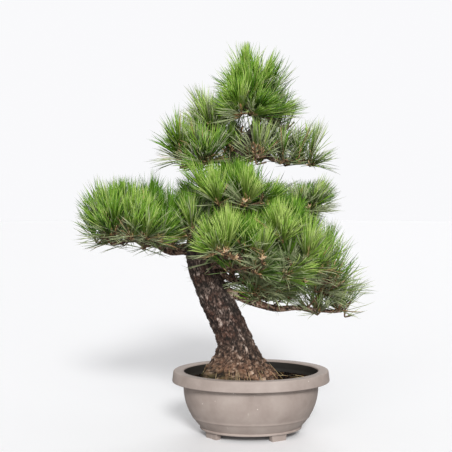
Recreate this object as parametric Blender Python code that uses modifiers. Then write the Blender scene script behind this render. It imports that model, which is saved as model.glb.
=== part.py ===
# Japanese black pine bonsai in an oval moulded training pot, as solids at real size.
# Lengths of the plant are measured from the pot's centre: +X right, +Y back, +Z up from the table.

import math
import random

import bmesh
import bpy
import numpy as np
from mathutils import Matrix, Vector

MM = 0.001
GAP = 0.3 * MM  # left between two solids that touch
WELD = 0.001 * MM
UP = Vector((0, 0, 1))
POT_CENTRE = Vector((65 * MM, 0, 0))  # brings the middle of the whole plant over the origin

# Pot: an oval bowl with a flanged rim, on four short feet
POT_HEIGHT = 150 * MM
RIM_HALF_WIDTH = 180 * MM
POT_DEPTH_SHARE = 0.8  # front to back, against side to side
POT_YAW = math.radians(3)
POT_STEPS = 40
RIM_FLANGE = 24 * MM
RIM_BAND = 25 * MM
RIM_FLARE = 3 * MM  # the band is this much wider at its lower edge
RIM_ROUND = 2.5 * MM
BOWL_HALF_WIDTH = 157 * MM  # just under the rim
BASE_HALF_WIDTH = 112 * MM
BOWL_CURVE = 2.6
BOWL_RINGS = 6
WALL = 4 * MM
BELT_HEIGHT = 43 * MM
BELT_RAISE = 1.2 * MM
BELT_WIDTH = 3 * MM
FOOT_HEIGHT = 15 * MM
FOOT_SIZE = Vector((40, 16, 17)) * MM  # along the base, across it, and up into the base
FOOT_INSET = 9 * MM
FOOT_ANGLES = (-57, -150, 33, 123)
DRAIN_RADIUS = 11 * MM
DRAIN_OFFSET = 48 * MM
DRAIN_SIDES = 16

# Soil: fills the pot to a little under the rim
SOIL_TOP = 127 * MM
SOIL_FLAT = 124 * MM  # half width of the level patch that the trunk stands on
SOIL_BUMP = 2.5 * MM
SOIL_RINGS = 2
SOIL_STEPS = 24

# Trunk: stations from the soil to the tip, as X, Y, height and radius in millimetres
TRUNK_STATIONS = (
    (-20, 0, 127, 45),
    (-28, 0, 192, 39),
    (-41, 2, 233, 37),
    (-74, 5, 300, 38),
    (-106, 9, 368, 33),
    (-119, 12, 425, 32),
    (-112, 14, 480, 26),
    (-58, 6, 579, 20),
    (-20, -4, 658, 14),
    (6, -9, 712, 8),
    (12, -10, 748, 6),
)
TRUNK_RINGS_A_STATION = 3
TRUNK_SMOOTHNESS = 5  # 14 sides
FLARE_EXTRA = 32 * MM
FLARE_SKEW = 0.5  # this much more on the left
FLARE_HEIGHT = 50 * MM
FLARE_DEPTH_SHARE = 0.84
FLARE_LOBES = 5
FLARE_PHASE = 0.7
FLARE_LOBE_SHARE = 0.2
BARK_JITTER = 0.06

# Boughs: where each leaves the trunk, its bends and its tip, and its radii, in millimetres.
# The first point lies inside the trunk, and a mass of foliage starts at the last.
BOUGHS = {
    "left": (((-118, 12, 424), (-152, 9, 430), (-186, 3, 428), (-212, 0, 440)), (17, 9)),
    "lower_right": (((-88, 7, 332), (-48, 3, 330), (2, 0, 309), (56, -5, 294), (98, -8, 296)), (14, 6)),
    "lower_inner": (((-106, 9, 376), (-72, 14, 372), (-40, 18, 356), (-16, 20, 350)), (10, 5)),
    "lower_front": (((-116, 12, 434), (-98, -32, 430), (-72, -74, 420)), (12, 6)),
    "lower_right_front": (((-108, 10, 396), (-58, -28, 396), (0, -56, 386), (48, -70, 386)), (11, 6)),
    "middle_right_front": (((-88, 11, 524), (-42, -22, 498), (4, -54, 474), (38, -76, 470)), (9, 5)),
    "left_inner": (((-117, 13, 452), (-130, -18, 466), (-137, -38, 472)), (9, 5)),
    "centre_front": (((-74, 9, 552), (-64, -32, 556), (-52, -66, 546)), (10, 6)),
    "middle_right": (((-56, 6, 584), (-14, 11, 566), (28, 14, 540), (64, 16, 522)), (10, 5)),
    "upper_left": (((-36, 0, 624), (-68, 6, 636), (-104, 9, 630)), (10, 5)),
    "upper_left_inner": (((-10, -6, 678), (-40, 10, 674), (-66, 20, 676)), (7, 4)),
    "apex_right": (((3, -8, 702), (22, 0, 704), (38, 4, 712)), (6, 4)),
    "upper_right": (((-24, -3, 650), (18, 0, 654), (46, 2, 640), (70, 2, 632)), (9, 5)),
    "upper_front": (((-14, -5, 668), (-6, -26, 662), (2, -40, 654)), (6, 4)),
    "back_lower": (((-98, 8, 356), (-82, 46, 362), (-62, 82, 358)), (12, 6)),
    "back_middle": (((-113, 14, 470), (-104, 46, 484), (-92, 76, 484)), (11, 6)),
    "back_right": (((-84, 10, 530), (-34, 46, 500), (20, 76, 462), (42, 84, 452)), (10, 5)),
    "back_upper": (((-32, 0, 634), (-18, 30, 642), (-6, 52, 640)), (8, 5)),
}
BOUGH_RINGS_A_BEND = 2
BOUGH_SMOOTHNESS = 1  # 6 sides

# Masses: centre and half sizes of each one's outline in millimetres, its count of tufts, and how far
# the tufts at its edge lean outwards in degrees. Each starts on the bough of its name, and the apex
# on the trunk's tip.
MASSES = {
    "apex": ((-8, -10, 816), (78, 84, 96), 15, 46),
    "apex_right": ((60, 8, 766), (49, 62, 64), 6, 48),
    "upper_left": ((-148, 10, 680), (76, 84, 76), 12, 55),
    "upper_left_inner": ((-102, 26, 728), (56, 62, 68), 9, 40),
    "upper_right": ((109, 2, 679), (84, 80, 62), 11, 58),
    "upper_front": ((10, -66, 684), (58, 48, 54), 6, 50),
    "centre_front": ((-36, -96, 590), (101, 92, 70), 15, 58),
    "middle_right": ((134, 22, 550), (78, 78, 50), 9, 62),
    "middle_right_front": ((74, -104, 512), (60, 56, 64), 6, 45),
    "left": ((-268, -5, 513), (145, 122, 98), 28, 74),
    "left_inner": ((-142, -62, 520), (60, 56, 66), 7, 45),
    "lower_front": ((-33, -142, 484), (82, 76, 76), 11, 48),
    "lower_right_front": ((136, -82, 428), (108, 88, 86), 16, 66),
    "lower_right": ((181, 0, 337), (101, 92, 66), 12, 78),
    "lower_inner": ((28, 24, 366), (84, 76, 62), 8, 60),
    "back_lower": ((-22, 134, 404), (118, 84, 80), 11, 66),
    "back_middle": ((-74, 128, 542), (108, 86, 78), 11, 62),
    "back_right": ((96, 120, 474), (84, 76, 66), 7, 62),
    "back_upper": ((8, 94, 688), (86, 72, 66), 7, 56),
}
OUTLINE_POWER = 4  # 2 would be an ellipsoid, and more is boxier
SEED = 1860

# Tufts: a slim shoot with long needles that stand out of its faces
SHOOT_LENGTH = 32 * MM
SHOOT_RADIUS = 4 * MM
SHOOT_RINGS = 3
SHOOT_SWELLS = ((1 / 3, 1.0), (2 / 3, 1.0), (1, 0.6))  # share of its length, and of its radius there
NEEDLE_LENGTH = 84 * MM
NEEDLE_LENGTH_SPREAD = 0.08
NEEDLE_LEANS = (56, 37, 21, 8)  # degrees from the shoot's axis, from its lowest ring to its tip
NEEDLE_RING_TURN = 35  # degrees that each ring is turned from the one below
NEEDLE_LEAN_SPREAD = 6
NEEDLE_TURN_SPREAD = 14
NEEDLE_RAISE = 0.85  # leans this much less at each further attempt
NEEDLE_ROOT_RADIUS = 3.5 * MM
NEEDLE_TIP_RADIUS = 0.2 * MM
NEEDLE_SHORTENINGS = (1.0, 0.9, 0.8, 0.7, 0.6)
NEEDLE_TRIES = 6
NEEDLE_CLEARANCE = 0.5 * MM
TUFT_REACH = 112 * MM  # from the foot of a shoot to its needles' tips
TUFT_INSET = 42 * MM  # from a mass's outline to its outermost shoots
TUFT_LIFT = 16 * MM  # from the underside of a mass to its lowest shoots
TUFT_LEAN_SPREAD = 9
TUFT_SHIFT_SPREAD = 7 * MM
GOLDEN_TURN = math.pi * (3 - math.sqrt(5))

# Twigs: straight and tapering, from a stem or an earlier twig to the foot of a shoot
STEM_DROP = 12 * MM  # the stem runs this far under the shoots
STEM_REACH = 0.5  # share of the way from a mass's middle to its far edge
STEM_END_RADIUS = 3.2 * MM
STEM_KNEE = 4 * MM  # straight on from the bough for this far
STEM_RINGS_A_SPAN = 3
STEM_SMOOTHNESS = 0  # 4 sides
TWIG_ROOT_RADIUS = 2 * MM
TWIG_TIP_RADIUS = 1.7 * MM
TWIG_ROOT_SHARE = 0.85  # of the radius of what it springs from, at most
TWIG_SINK = 0.2 * MM  # starts this far behind the middle of what it springs from
TWIG_TURN_COST = 0.8
TWIG_LEAST_LENGTH = 8 * MM
TWIG_TRIES = 4
SHOOT_LEAST_AHEAD = 0.3  # cosine of the sharpest turn from a twig into its shoot
LIMB_CLEARANCE = 1.0 * MM
NEIGHBOUR_MARGIN = 1.5 * MM


# Scene, materials and meshes


def clear_scene():
    for obj in list(bpy.data.objects):
        bpy.data.objects.remove(obj, do_unlink=True)


def new_collection(name):
    collection = bpy.data.collections.new(name)
    bpy.context.scene.collection.children.link(collection)
    return collection


def new_material(name, colour, roughness):
    material = bpy.data.materials.new(name)
    material.use_nodes = True
    shader = material.node_tree.nodes["Principled BSDF"]
    shader.inputs["Base Color"].default_value = (*colour, 1)
    shader.inputs["Roughness"].default_value = roughness
    shader.inputs["Metallic"].default_value = 0
    return material


def new_object(name, mesh, collection):
    obj = bpy.data.objects.new(name, mesh)
    collection.objects.link(obj)
    return obj


def mesh_from(bm, name):
    mesh = bpy.data.meshes.new(name)
    bm.to_mesh(mesh)
    bm.free()
    return mesh


def evaluated_mesh(obj):
    """The object's mesh with its modifiers applied and loose caps welded."""
    bpy.context.view_layer.update()
    graph = bpy.context.evaluated_depsgraph_get()
    mesh = bpy.data.meshes.new_from_object(obj.evaluated_get(graph))
    bm = bmesh.new()
    bm.from_mesh(mesh)
    bpy.data.meshes.remove(mesh)
    bmesh.ops.remove_doubles(bm, verts=bm.verts, dist=WELD)
    bmesh.ops.recalc_face_normals(bm, faces=bm.faces)
    return mesh_from(bm, obj.name)


def apply_modifiers(obj):
    mesh = evaluated_mesh(obj)
    obj.modifiers.clear()
    obj.data = mesh


def remove_helpers(collection):
    for obj in list(collection.objects):
        bpy.data.objects.remove(obj, do_unlink=True)
    bpy.data.collections.remove(collection)


def add_boolean(obj, operation, other):
    modifier = obj.modifiers.new(operation.title(), "BOOLEAN")
    modifier.operation = operation
    modifier.solver = "EXACT"
    if isinstance(other, bpy.types.Collection):
        modifier.operand_type = "COLLECTION"
        modifier.collection = other
    else:
        modifier.object = other


def mark_cutter(obj):
    obj.hide_render = True
    obj.display_type = "WIRE"


# Limbs


def smooth_path(points, radii, rings):
    """Points and radii along a Catmull-Rom curve through the given ones, with this many rings a span."""
    count = len(points)
    before = 2 * points[0] - points[1]
    after = 2 * points[-1] - points[-2]
    through = [before, *points, after]
    path = []
    for span in range(count - 1):
        a, b, c, d = through[span : span + 4]
        for ring in range(rings):
            t = ring / rings
            along = 0.5 * (2 * b + (c - a) * t + (2 * a - 5 * b + 4 * c - d) * t**2)
            along += 0.5 * (3 * b - a - 3 * c + d) * t**3
            path.append((along, radii[span] + (radii[span + 1] - radii[span]) * t))
    path.append((points[-1], radii[-1]))
    return path


def limb_object(name, path, smoothness, collection):
    """A tapering round limb with flat ends along a path of points and radii."""
    curve = bpy.data.curves.new(name, "CURVE")
    curve.dimensions = "3D"
    curve.bevel_depth = MM
    curve.bevel_resolution = smoothness
    curve.use_fill_caps = True
    spline = curve.splines.new("POLY")
    spline.points.add(len(path) - 1)
    for point, (place, radius) in zip(spline.points, path):
        point.co = (*place, 1)
        point.radius = radius / MM
    drawn = new_object(name + "_curve", curve, collection)
    mesh = evaluated_mesh(drawn)
    bpy.data.objects.remove(drawn, do_unlink=True)
    bpy.data.curves.remove(curve)
    return new_object(name, mesh, collection)


def trunk_path():
    points = [Vector(station[:3]) * MM for station in TRUNK_STATIONS]
    radii = [station[3] * MM for station in TRUNK_STATIONS]
    return smooth_path(points, radii, TRUNK_RINGS_A_STATION)


def flare_of(height, angle):
    """How far the root flare stands out of the trunk at this height above the soil."""
    lobes = 1 + FLARE_LOBE_SHARE * math.cos(FLARE_LOBES * angle + FLARE_PHASE)
    skew = 1 + FLARE_SKEW * max(-math.cos(angle), 0)
    return FLARE_EXTRA * lobes * skew * math.exp(-((height / FLARE_HEIGHT) ** 2))


def build_trunk(collection):
    rng = random.Random(SEED)
    path = trunk_path()
    trunk = limb_object("trunk", path, TRUNK_SMOOTHNESS, collection)
    axis = [place for place, _ in path]
    for vertex in trunk.data.vertices:
        place = vertex.co.copy()
        centre = min(axis, key=lambda point: (point - place).length_squared)
        height = max(place.z - SOIL_TOP, 0)
        outward = place - centre
        if outward.length < MM:
            continue
        angle = math.atan2(outward.y, outward.x)
        flare = flare_of(height, angle) * Vector((math.cos(angle), FLARE_DEPTH_SHARE * math.sin(angle), 0))
        vertex.co = place + outward * rng.uniform(-BARK_JITTER, BARK_JITTER) + flare
    lowest_ring = axis[0].z + 0.4 * (axis[1].z - axis[0].z)
    for vertex in trunk.data.vertices:
        if vertex.co.z < lowest_ring:
            vertex.co.z = SOIL_TOP
    bm = bmesh.new()
    bm.from_mesh(trunk.data)
    bmesh.ops.triangulate(bm, faces=bm.faces)
    bm.to_mesh(trunk.data)
    bm.free()
    return trunk


def bough_path(name):
    points, (root_radius, tip_radius) = BOUGHS[name]
    points = [Vector(point) * MM for point in points]
    last = len(points) - 1
    radii = [(root_radius + (tip_radius - root_radius) * (i / last) ** 0.8) * MM for i in range(last + 1)]
    return smooth_path(points, radii, BOUGH_RINGS_A_BEND)


def build_boughs(trunk, collection):
    """Every bough, cut clear of the trunk."""
    swollen = trunk.data.copy()
    for vertex, normal in zip(swollen.vertices, [v.normal.copy() for v in trunk.data.vertices]):
        vertex.co += normal * GAP * 1.4
    cutter = new_object("trunk_cutter", swollen, collection)
    mark_cutter(cutter)
    boughs = []
    for name in BOUGHS:
        bough = limb_object("bough_" + name, bough_path(name), BOUGH_SMOOTHNESS, collection)
        add_boolean(bough, "DIFFERENCE", cutter)
        apply_modifiers(bough)
        boughs.append(bough)
    bpy.data.objects.remove(cutter, do_unlink=True)
    return boughs


# Clearances: everything that foliage must not touch is kept as tapering capsules


class Capsules:
    """Segments with a radius at each end, for tests of how far a new one lies from the rest."""

    def __init__(self):
        self.rows = np.zeros((0, 8))

    def add(self, start, end, start_radius, end_radius):
        row = np.array([[*start, *end, start_radius, end_radius]])
        self.rows = np.vstack((self.rows, row))

    def add_path(self, path):
        for (start, start_radius), (end, end_radius) in zip(path, path[1:]):
            self.add(start, end, start_radius, end_radius)

    def clearance(self, start, end, start_radius, end_radius, skip=()):
        """The least free distance from this capsule to those kept, leaving out the rows in skip."""
        if not len(self.rows):
            return math.inf
        first, along = np.array(start), np.array(end) - np.array(start)
        second, across = self.rows[:, :3], self.rows[:, 3:6] - self.rows[:, :3]
        between = first - second
        a, e = along @ along, np.einsum("ij,ij->i", across, across)
        b, c, f = across @ along, between @ along, np.einsum("ij,ij->i", across, between)
        spread = a * e - b * b
        s = np.clip(np.where(spread > 1e-15, (b * f - c * e) / np.maximum(spread, 1e-15), 0), 0, 1)
        t = np.clip((b * s + f) / e, 0, 1)
        s = np.clip((b * t - c) / a, 0, 1)
        apart = np.linalg.norm(between + s[:, None] * along - t[:, None] * across, axis=1)
        radii = start_radius + (end_radius - start_radius) * s
        radii += self.rows[:, 6] + (self.rows[:, 7] - self.rows[:, 6]) * t
        free = apart - radii
        free[list(skip)] = math.inf
        return free.min()


# Foliage


class Space:
    """The space that one mass keeps to: its outline, cut by planes against its neighbours.

    Where two outlines overlap side by side each gives up half, and a lower one gives way to a higher.
    """

    def __init__(self, name):
        centre, half = MASSES[name][:2]
        self.centre = np.array(centre) * MM
        self.half = np.array(half) * MM
        self.planes = []
        for other, (other_centre, other_half, _, _) in MASSES.items():
            if other == name:
                continue
            towards = np.array(other_centre) * MM - self.centre
            distance = np.linalg.norm(towards)
            normal = towards / distance
            reach = np.linalg.norm(self.half * normal)
            overlap = reach + np.linalg.norm(np.array(other_half) * MM * normal) - distance
            if overlap > 0:
                given_up = 0.5 + 0.5 * normal[2]
                self.planes.append((normal, reach - overlap * given_up))

    def holds(self, point, margin):
        offset = np.array(point) - self.centre
        if (np.abs(offset / self.half) ** OUTLINE_POWER).sum() > 1:
            return False
        return all(offset @ normal <= limit - margin for normal, limit in self.planes)


def shoot_feet(name, rng):
    """Foot and axis of every shoot of a mass, spread over a low dome by a sunflower spiral."""
    centre, half, count, lean = MASSES[name]
    centre, half = Vector(centre) * MM, Vector(half) * MM
    low = centre.z - half.z + TUFT_LIFT
    top = max(centre.z + half.z - TUFT_REACH, low)
    spread = Vector((max(half.x - TUFT_INSET, half.x * 0.3), max(half.y - TUFT_INSET, half.y * 0.3), 0))
    phase = rng.uniform(0, math.tau)
    feet = []
    for index in range(count):
        share = math.sqrt((index + 0.5) / count)
        angle = index * GOLDEN_TURN + phase
        outward = Vector((math.cos(angle), math.sin(angle), 0))
        foot = Vector((centre.x, centre.y, low + (top - low) * (1 - share**2)))
        foot += Vector((outward.x * spread.x, outward.y * spread.y, 0)) * share
        foot += Vector([rng.uniform(-TUFT_SHIFT_SPREAD, TUFT_SHIFT_SPREAD) for _ in range(3)])
        tilt = math.radians(lean * share + rng.uniform(-TUFT_LEAN_SPREAD, TUFT_LEAN_SPREAD))
        axis = (UP * math.cos(tilt) + outward * math.sin(tilt)).normalized()
        feet.append((foot, axis))
    return feet


def stem_path(name, start, heading, radius):
    """The mass's stem: on from its bough, under the middle of the shoots and towards the far edge."""
    centre, half = Vector(MASSES[name][0]) * MM, Vector(MASSES[name][1]) * MM
    low = centre.z - half.z + TUFT_LIFT
    top = max(centre.z + half.z - TUFT_REACH, low)
    start = start + heading * GAP
    middle = Vector((centre.x, centre.y, max((low + top) / 2 - STEM_DROP, low)))
    if (middle - start).length < 2 * STEM_DROP:
        middle = start + heading * 2 * STEM_DROP
    ahead = middle - start
    ahead.z = 0
    if ahead.length > STEM_DROP:
        ahead.normalize()
        reach = Vector((ahead.x * half.x, ahead.y * half.y, 0)).length
        end = middle + ahead * max(reach - TUFT_INSET, 0) * STEM_REACH
        end.z = (middle.z + low) / 2
    else:
        end = Vector((centre.x, centre.y, top))
    if (end - middle).length < STEM_DROP:
        end = middle + (middle - start).normalized() * STEM_DROP
    knee = start + heading * STEM_KNEE
    radii = [radius, radius, (radius + STEM_END_RADIUS) / 2, STEM_END_RADIUS]
    path = smooth_path([start, knee, middle, end], radii, STEM_RINGS_A_SPAN)
    return [path[0]] + path[STEM_RINGS_A_SPAN:]


def needle_faces(mesh_faces, foot, axis):
    """Faces of the shoot that needles stand on, as (face, centre, ring), in a fixed order."""
    side = axis.orthogonal().normalized()
    across = axis.cross(side)
    found = []
    for face in mesh_faces:
        centre = face.calc_center_median()
        height = (centre - foot).dot(axis) / SHOOT_LENGTH
        outward = centre - foot - axis * height * SHOOT_LENGTH
        turn = math.atan2(outward.dot(across), outward.dot(side))
        if face.normal.dot(axis) > 0.9 and height > 0.9:
            found.append((SHOOT_RINGS, turn, face, centre))
        elif 0 < height < 1 and abs(face.normal.dot(axis)) < 0.7:
            found.append((int(height * SHOOT_RINGS), turn, face, centre))
    found.sort(key=lambda item: (item[0], round(item[1], 3)))
    frame = Matrix((side, across, axis)).transposed()
    return [(face, centre, ring) for ring, _, face, centre in found], frame


def needle_aim(centre, foot, ring, frame, attempt, rng):
    """Direction of the needle on this face: out of the shoot and up along it, more so at each attempt."""
    outward = frame.inverted() @ (centre - foot)
    turn = math.atan2(outward.y, outward.x) + math.radians(NEEDLE_RING_TURN * ring)
    turn += math.radians(rng.uniform(-NEEDLE_TURN_SPREAD, NEEDLE_TURN_SPREAD))
    lean = NEEDLE_LEANS[ring] * NEEDLE_RAISE**attempt + rng.uniform(-NEEDLE_LEAN_SPREAD, NEEDLE_LEAN_SPREAD)
    lean = math.radians(lean)
    return frame @ Vector((math.cos(turn) * math.sin(lean), math.sin(turn) * math.sin(lean), math.cos(lean)))


def needle_reach(root, aim, length, space):
    """The share of its length that a needle may have in this space, or none."""
    for share in NEEDLE_SHORTENINGS:
        if space.holds(root + aim * length * share, NEIGHBOUR_MARGIN):
            return share
    return None


def grow_needles(tuft, path, own_rows, space, solids, rng):
    """Needles on a tuft's shoot. One that would touch or leave the space is left out."""
    foot, tip = path[1][0], path[-1][0]
    axis = (tip - foot).normalized()
    bm = bmesh.new()
    bm.from_mesh(tuft.data)
    bm.normal_update()
    faces, frame = needle_faces(bm.faces, foot, axis)
    peaks = []
    for face, root, ring in faces:
        for attempt in range(NEEDLE_TRIES):
            aim = needle_aim(root, foot, ring, frame, attempt, rng)
            length = NEEDLE_LENGTH * (1 + rng.uniform(-NEEDLE_LENGTH_SPREAD, NEEDLE_LENGTH_SPREAD))
            reach = needle_reach(root, aim, length, space)
            if reach is None:
                continue
            peak = root + aim * length * reach
            shoulder = root + aim * NEEDLE_ROOT_RADIUS
            free = solids.clearance(shoulder, peak, NEEDLE_ROOT_RADIUS, NEEDLE_TIP_RADIUS, own_rows)
            if free > NEEDLE_CLEARANCE:
                peaks.append((face, peak))
                solids.add(shoulder, peak, NEEDLE_ROOT_RADIUS, NEEDLE_TIP_RADIUS)
                break
    for face, peak in peaks:
        bmesh.ops.poke(bm, faces=[face])["verts"][0].co = peak
    bm.to_mesh(tuft.data)
    bm.free()


def joints_by_cost(joints, foot, axis):
    """Places on the stem and earlier twigs to branch from, those near and without a sharp turn first."""

    def cost(joint):
        place, ahead, _ = joint
        towards = (foot - place).normalized()
        turns = 2 - ahead.dot(towards) - towards.dot(axis)
        return (foot - place).length * (1 + TWIG_TURN_COST * turns)

    far_enough = [joint for joint in joints if (foot - joint[0]).length > TWIG_LEAST_LENGTH]
    return sorted(far_enough, key=cost)[:TWIG_TRIES]


def bent_forward(axis, towards):
    """The shoot's axis, brought round where it would turn back sharply on its twig."""
    return (axis + towards * max(0, SHOOT_LEAST_AHEAD - axis.dot(towards))).normalized()


def plan_tufts(name, stem, solids, own_rows, rng):
    """Twigs and shoots of one mass: each tuft's path of points and radii, and its rows in solids."""
    space = Space(name)
    joints = []
    for (start, radius), (end, _) in zip(stem[2:], stem[3:]):
        joints.append((start, (end - start).normalized(), radius))
    joints.append((stem[-1][0], (stem[-1][0] - stem[-2][0]).normalized(), stem[-1][1]))
    tufts = []
    feet = sorted(shoot_feet(name, rng), key=lambda item: min((item[0] - j[0]).length for j in joints))
    for foot, wanted_axis in feet:
        for place, _, radius in joints_by_cost(joints, foot, wanted_axis):
            towards = (foot - place).normalized()
            axis = bent_forward(wanted_axis, towards)
            root_radius = min(TWIG_ROOT_RADIUS, radius * TWIG_ROOT_SHARE)
            tip_radius = min(TWIG_TIP_RADIUS, root_radius)
            tip = foot + axis * SHOOT_LENGTH
            crowded = solids.clearance(place, foot, root_radius, tip_radius, own_rows) < LIMB_CLEARANCE
            crowded |= solids.clearance(foot, tip, SHOOT_RADIUS, SHOOT_RADIUS, own_rows) < LIMB_CLEARANCE
            if crowded or not space.holds(foot, LIMB_CLEARANCE) or not space.holds(tip, LIMB_CLEARANCE):
                continue
            path = [(place - towards * TWIG_SINK, root_radius), (foot, tip_radius)]
            for share, swell in SHOOT_SWELLS:
                path.append((foot + axis * SHOOT_LENGTH * share, SHOOT_RADIUS * swell))
            rows = [len(solids.rows), len(solids.rows) + 1]
            solids.add(place, foot, root_radius, tip_radius)
            solids.add(foot, tip, SHOOT_RADIUS, SHOOT_RADIUS)
            own_rows.extend(rows)
            tufts.append((path, rows))
            joints.append((place.lerp(foot, 0.55), towards, (root_radius + tip_radius) / 2))
            break
    return tufts


def build_mass(name, stem, tufts, solids, rng, collection):
    """One mass of foliage: its stem, twigs and tufts, joined into one body."""
    space = Space(name)
    mass = limb_object("foliage_" + name, stem, STEM_SMOOTHNESS, collection)
    pieces = new_collection(name + "_pieces")
    for index, (path, own_rows) in enumerate(tufts):
        tuft = limb_object(f"{name}_tuft_{index}", path, STEM_SMOOTHNESS, pieces)
        grow_needles(tuft, path, own_rows, space, solids, rng)
    add_boolean(mass, "UNION", pieces)
    apply_modifiers(mass)
    remove_helpers(pieces)
    keep_largest_body(mass)
    print(f"{name}: {len(tufts)} of {MASSES[name][2]} tufts, {len(mass.data.polygons)} faces")
    return mass


def keep_largest_body(obj):
    """Drops scrap that a union left loose and vertices midway on an edge, and cuts faces to triangles."""
    bm = bmesh.new()
    bm.from_mesh(obj.data)
    unseen = set(bm.verts)
    bodies = []
    while unseen:
        body, edge = set(), [unseen.pop()]
        while edge:
            vertex = edge.pop()
            body.add(vertex)
            for link in vertex.link_edges:
                other = link.other_vert(vertex)
                if other in unseen:
                    unseen.remove(other)
                    edge.append(other)
        bodies.append(body)
    bodies.sort(key=len)
    for body in bodies[:-1]:
        bmesh.ops.delete(bm, geom=list(body), context="VERTS")
    midway = [vertex for vertex in bm.verts if len(vertex.link_edges) == 2]
    bmesh.ops.dissolve_verts(bm, verts=midway)
    bmesh.ops.triangulate(bm, faces=bm.faces)
    bm.to_mesh(obj.data)
    bm.free()


def build_foliage(collection):
    solids = Capsules()
    trunk = trunk_path()
    for place, radius in trunk:
        height = max(place.z - SOIL_TOP, 0)
        if height < 3 * FLARE_HEIGHT:
            solids.add(place, place + UP * MM, radius + flare_of(height, 0), radius)
    solids.add_path(trunk)
    paths = {}
    for name in MASSES:
        limb = bough_path(name) if name in BOUGHS else trunk
        if name in BOUGHS:
            solids.add_path(limb)
        (last, radius), (before, _) = limb[-1], limb[-2]
        paths[name] = stem_path(name, last, (last - before).normalized(), radius * 0.95)
    rows = {}
    for name, path in paths.items():
        rows[name] = list(range(len(solids.rows), len(solids.rows) + len(path) - 1))
        solids.add_path(path)
    draws = {name: random.Random(f"{SEED} {name}") for name in MASSES}
    tufts = {name: plan_tufts(name, paths[name], solids, rows[name], draws[name]) for name in MASSES}
    return [
        build_mass(name, paths[name], tufts[name], solids, draws[name], collection) for name in MASSES
    ]


# Pot and soil


def bowl_half_width(height):
    """Outside of the bowl at this height, between the base and the rim's band."""
    share = (height - FOOT_HEIGHT) / (POT_HEIGHT - RIM_BAND - FOOT_HEIGHT)
    return BASE_HALF_WIDTH + (BOWL_HALF_WIDTH - BASE_HALF_WIDTH) * (1 - (1 - share) ** BOWL_CURVE)


def bowl_heights():
    low, high = FOOT_HEIGHT + WALL, POT_HEIGHT - RIM_BAND
    return [low + (high - low) * (ring / BOWL_RINGS) ** 1.3 for ring in range(BOWL_RINGS + 1)]


def pot_profile():
    """Up the inside, over the rim and down the outside, as half width and height."""
    inner_lip = RIM_HALF_WIDTH - RIM_FLANGE
    inside = [(bowl_half_width(height) - WALL, height) for height in bowl_heights()]
    rim = [
        (inner_lip, POT_HEIGHT - RIM_ROUND),
        (inner_lip + RIM_ROUND, POT_HEIGHT),
        (RIM_HALF_WIDTH - RIM_ROUND, POT_HEIGHT),
        (RIM_HALF_WIDTH, POT_HEIGHT - RIM_ROUND),
        (RIM_HALF_WIDTH + RIM_FLARE, POT_HEIGHT - RIM_BAND + RIM_ROUND),
        (RIM_HALF_WIDTH + RIM_FLARE - RIM_ROUND, POT_HEIGHT - RIM_BAND),
    ]
    outside = [(bowl_half_width(height), height) for height in reversed(bowl_heights())]
    belt = [
        (bowl_half_width(BELT_HEIGHT) + raise_by, BELT_HEIGHT + drop)
        for raise_by, drop in ((0, BELT_WIDTH / 2), (BELT_RAISE, 0), (0, -BELT_WIDTH / 2))
    ]
    above = [point for point in outside if point[1] > BELT_HEIGHT + BELT_WIDTH]
    below = [point for point in outside if point[1] < BELT_HEIGHT - BELT_WIDTH]
    base = [(BASE_HALF_WIDTH, FOOT_HEIGHT), (0, FOOT_HEIGHT)]
    return [(0, FOOT_HEIGHT + WALL)] + inside + rim + above + belt + below + base


def turned_object(name, profile, steps, collection):
    """An oval turned shape: a profile of half width and height, turned and narrowed front to back."""
    bm = bmesh.new()
    points = [bm.verts.new((half_width, 0, height)) for half_width, height in profile]
    for first, second in zip(points, points[1:]):
        bm.edges.new((first, second))
    obj = new_object(name, mesh_from(bm, name), collection)
    screw = obj.modifiers.new("Screw", "SCREW")
    screw.axis = "Z"
    screw.steps = steps
    screw.render_steps = steps
    screw.use_merge_vertices = True
    screw.merge_threshold = 0.00001
    apply_modifiers(obj)
    obj.data.transform(Matrix.Diagonal((1, POT_DEPTH_SHARE, 1, 1)))
    return obj


def foot_mesh(angle):
    """A foot block along the base's edge at this angle."""
    bm = bmesh.new()
    bmesh.ops.create_cube(bm, size=1)
    bmesh.ops.scale(bm, vec=FOOT_SIZE, verts=bm.verts)
    for vertex in bm.verts:
        if vertex.co.z < 0:
            vertex.co.x *= 0.92
            vertex.co.y *= 0.88
    inset = BASE_HALF_WIDTH - FOOT_INSET
    place = Vector((inset * math.cos(angle), inset * POT_DEPTH_SHARE * math.sin(angle), FOOT_SIZE.z / 2))
    edge = Vector((-math.sin(angle), POT_DEPTH_SHARE * math.cos(angle), 0))
    turn = Matrix.Rotation(math.atan2(edge.y, edge.x), 4, "Z")
    bmesh.ops.transform(bm, matrix=Matrix.Translation(place) @ turn, verts=bm.verts)
    return mesh_from(bm, "foot")


def build_pot(collection):
    pot = turned_object("pot", pot_profile(), POT_STEPS, collection)
    feet = new_collection("pot_feet")
    for degrees in FOOT_ANGLES:
        new_object(f"foot_{degrees}", foot_mesh(math.radians(degrees)), feet)
    add_boolean(pot, "UNION", feet)
    apply_modifiers(pot)
    remove_helpers(feet)
    for side in (-1, 1):
        bm = bmesh.new()
        bmesh.ops.create_cone(
            bm,
            cap_ends=True,
            segments=DRAIN_SIDES,
            radius1=DRAIN_RADIUS,
            radius2=DRAIN_RADIUS,
            depth=4 * WALL,
            matrix=Matrix.Translation((side * DRAIN_OFFSET, 0, FOOT_HEIGHT + WALL / 2)),
        )
        drain = new_object("drain_cutter", mesh_from(bm, "drain"), collection)
        mark_cutter(drain)
        add_boolean(pot, "DIFFERENCE", drain)
        apply_modifiers(pot)
        bpy.data.objects.remove(drain, do_unlink=True)
    pot.rotation_euler.z = POT_YAW
    return pot


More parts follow.
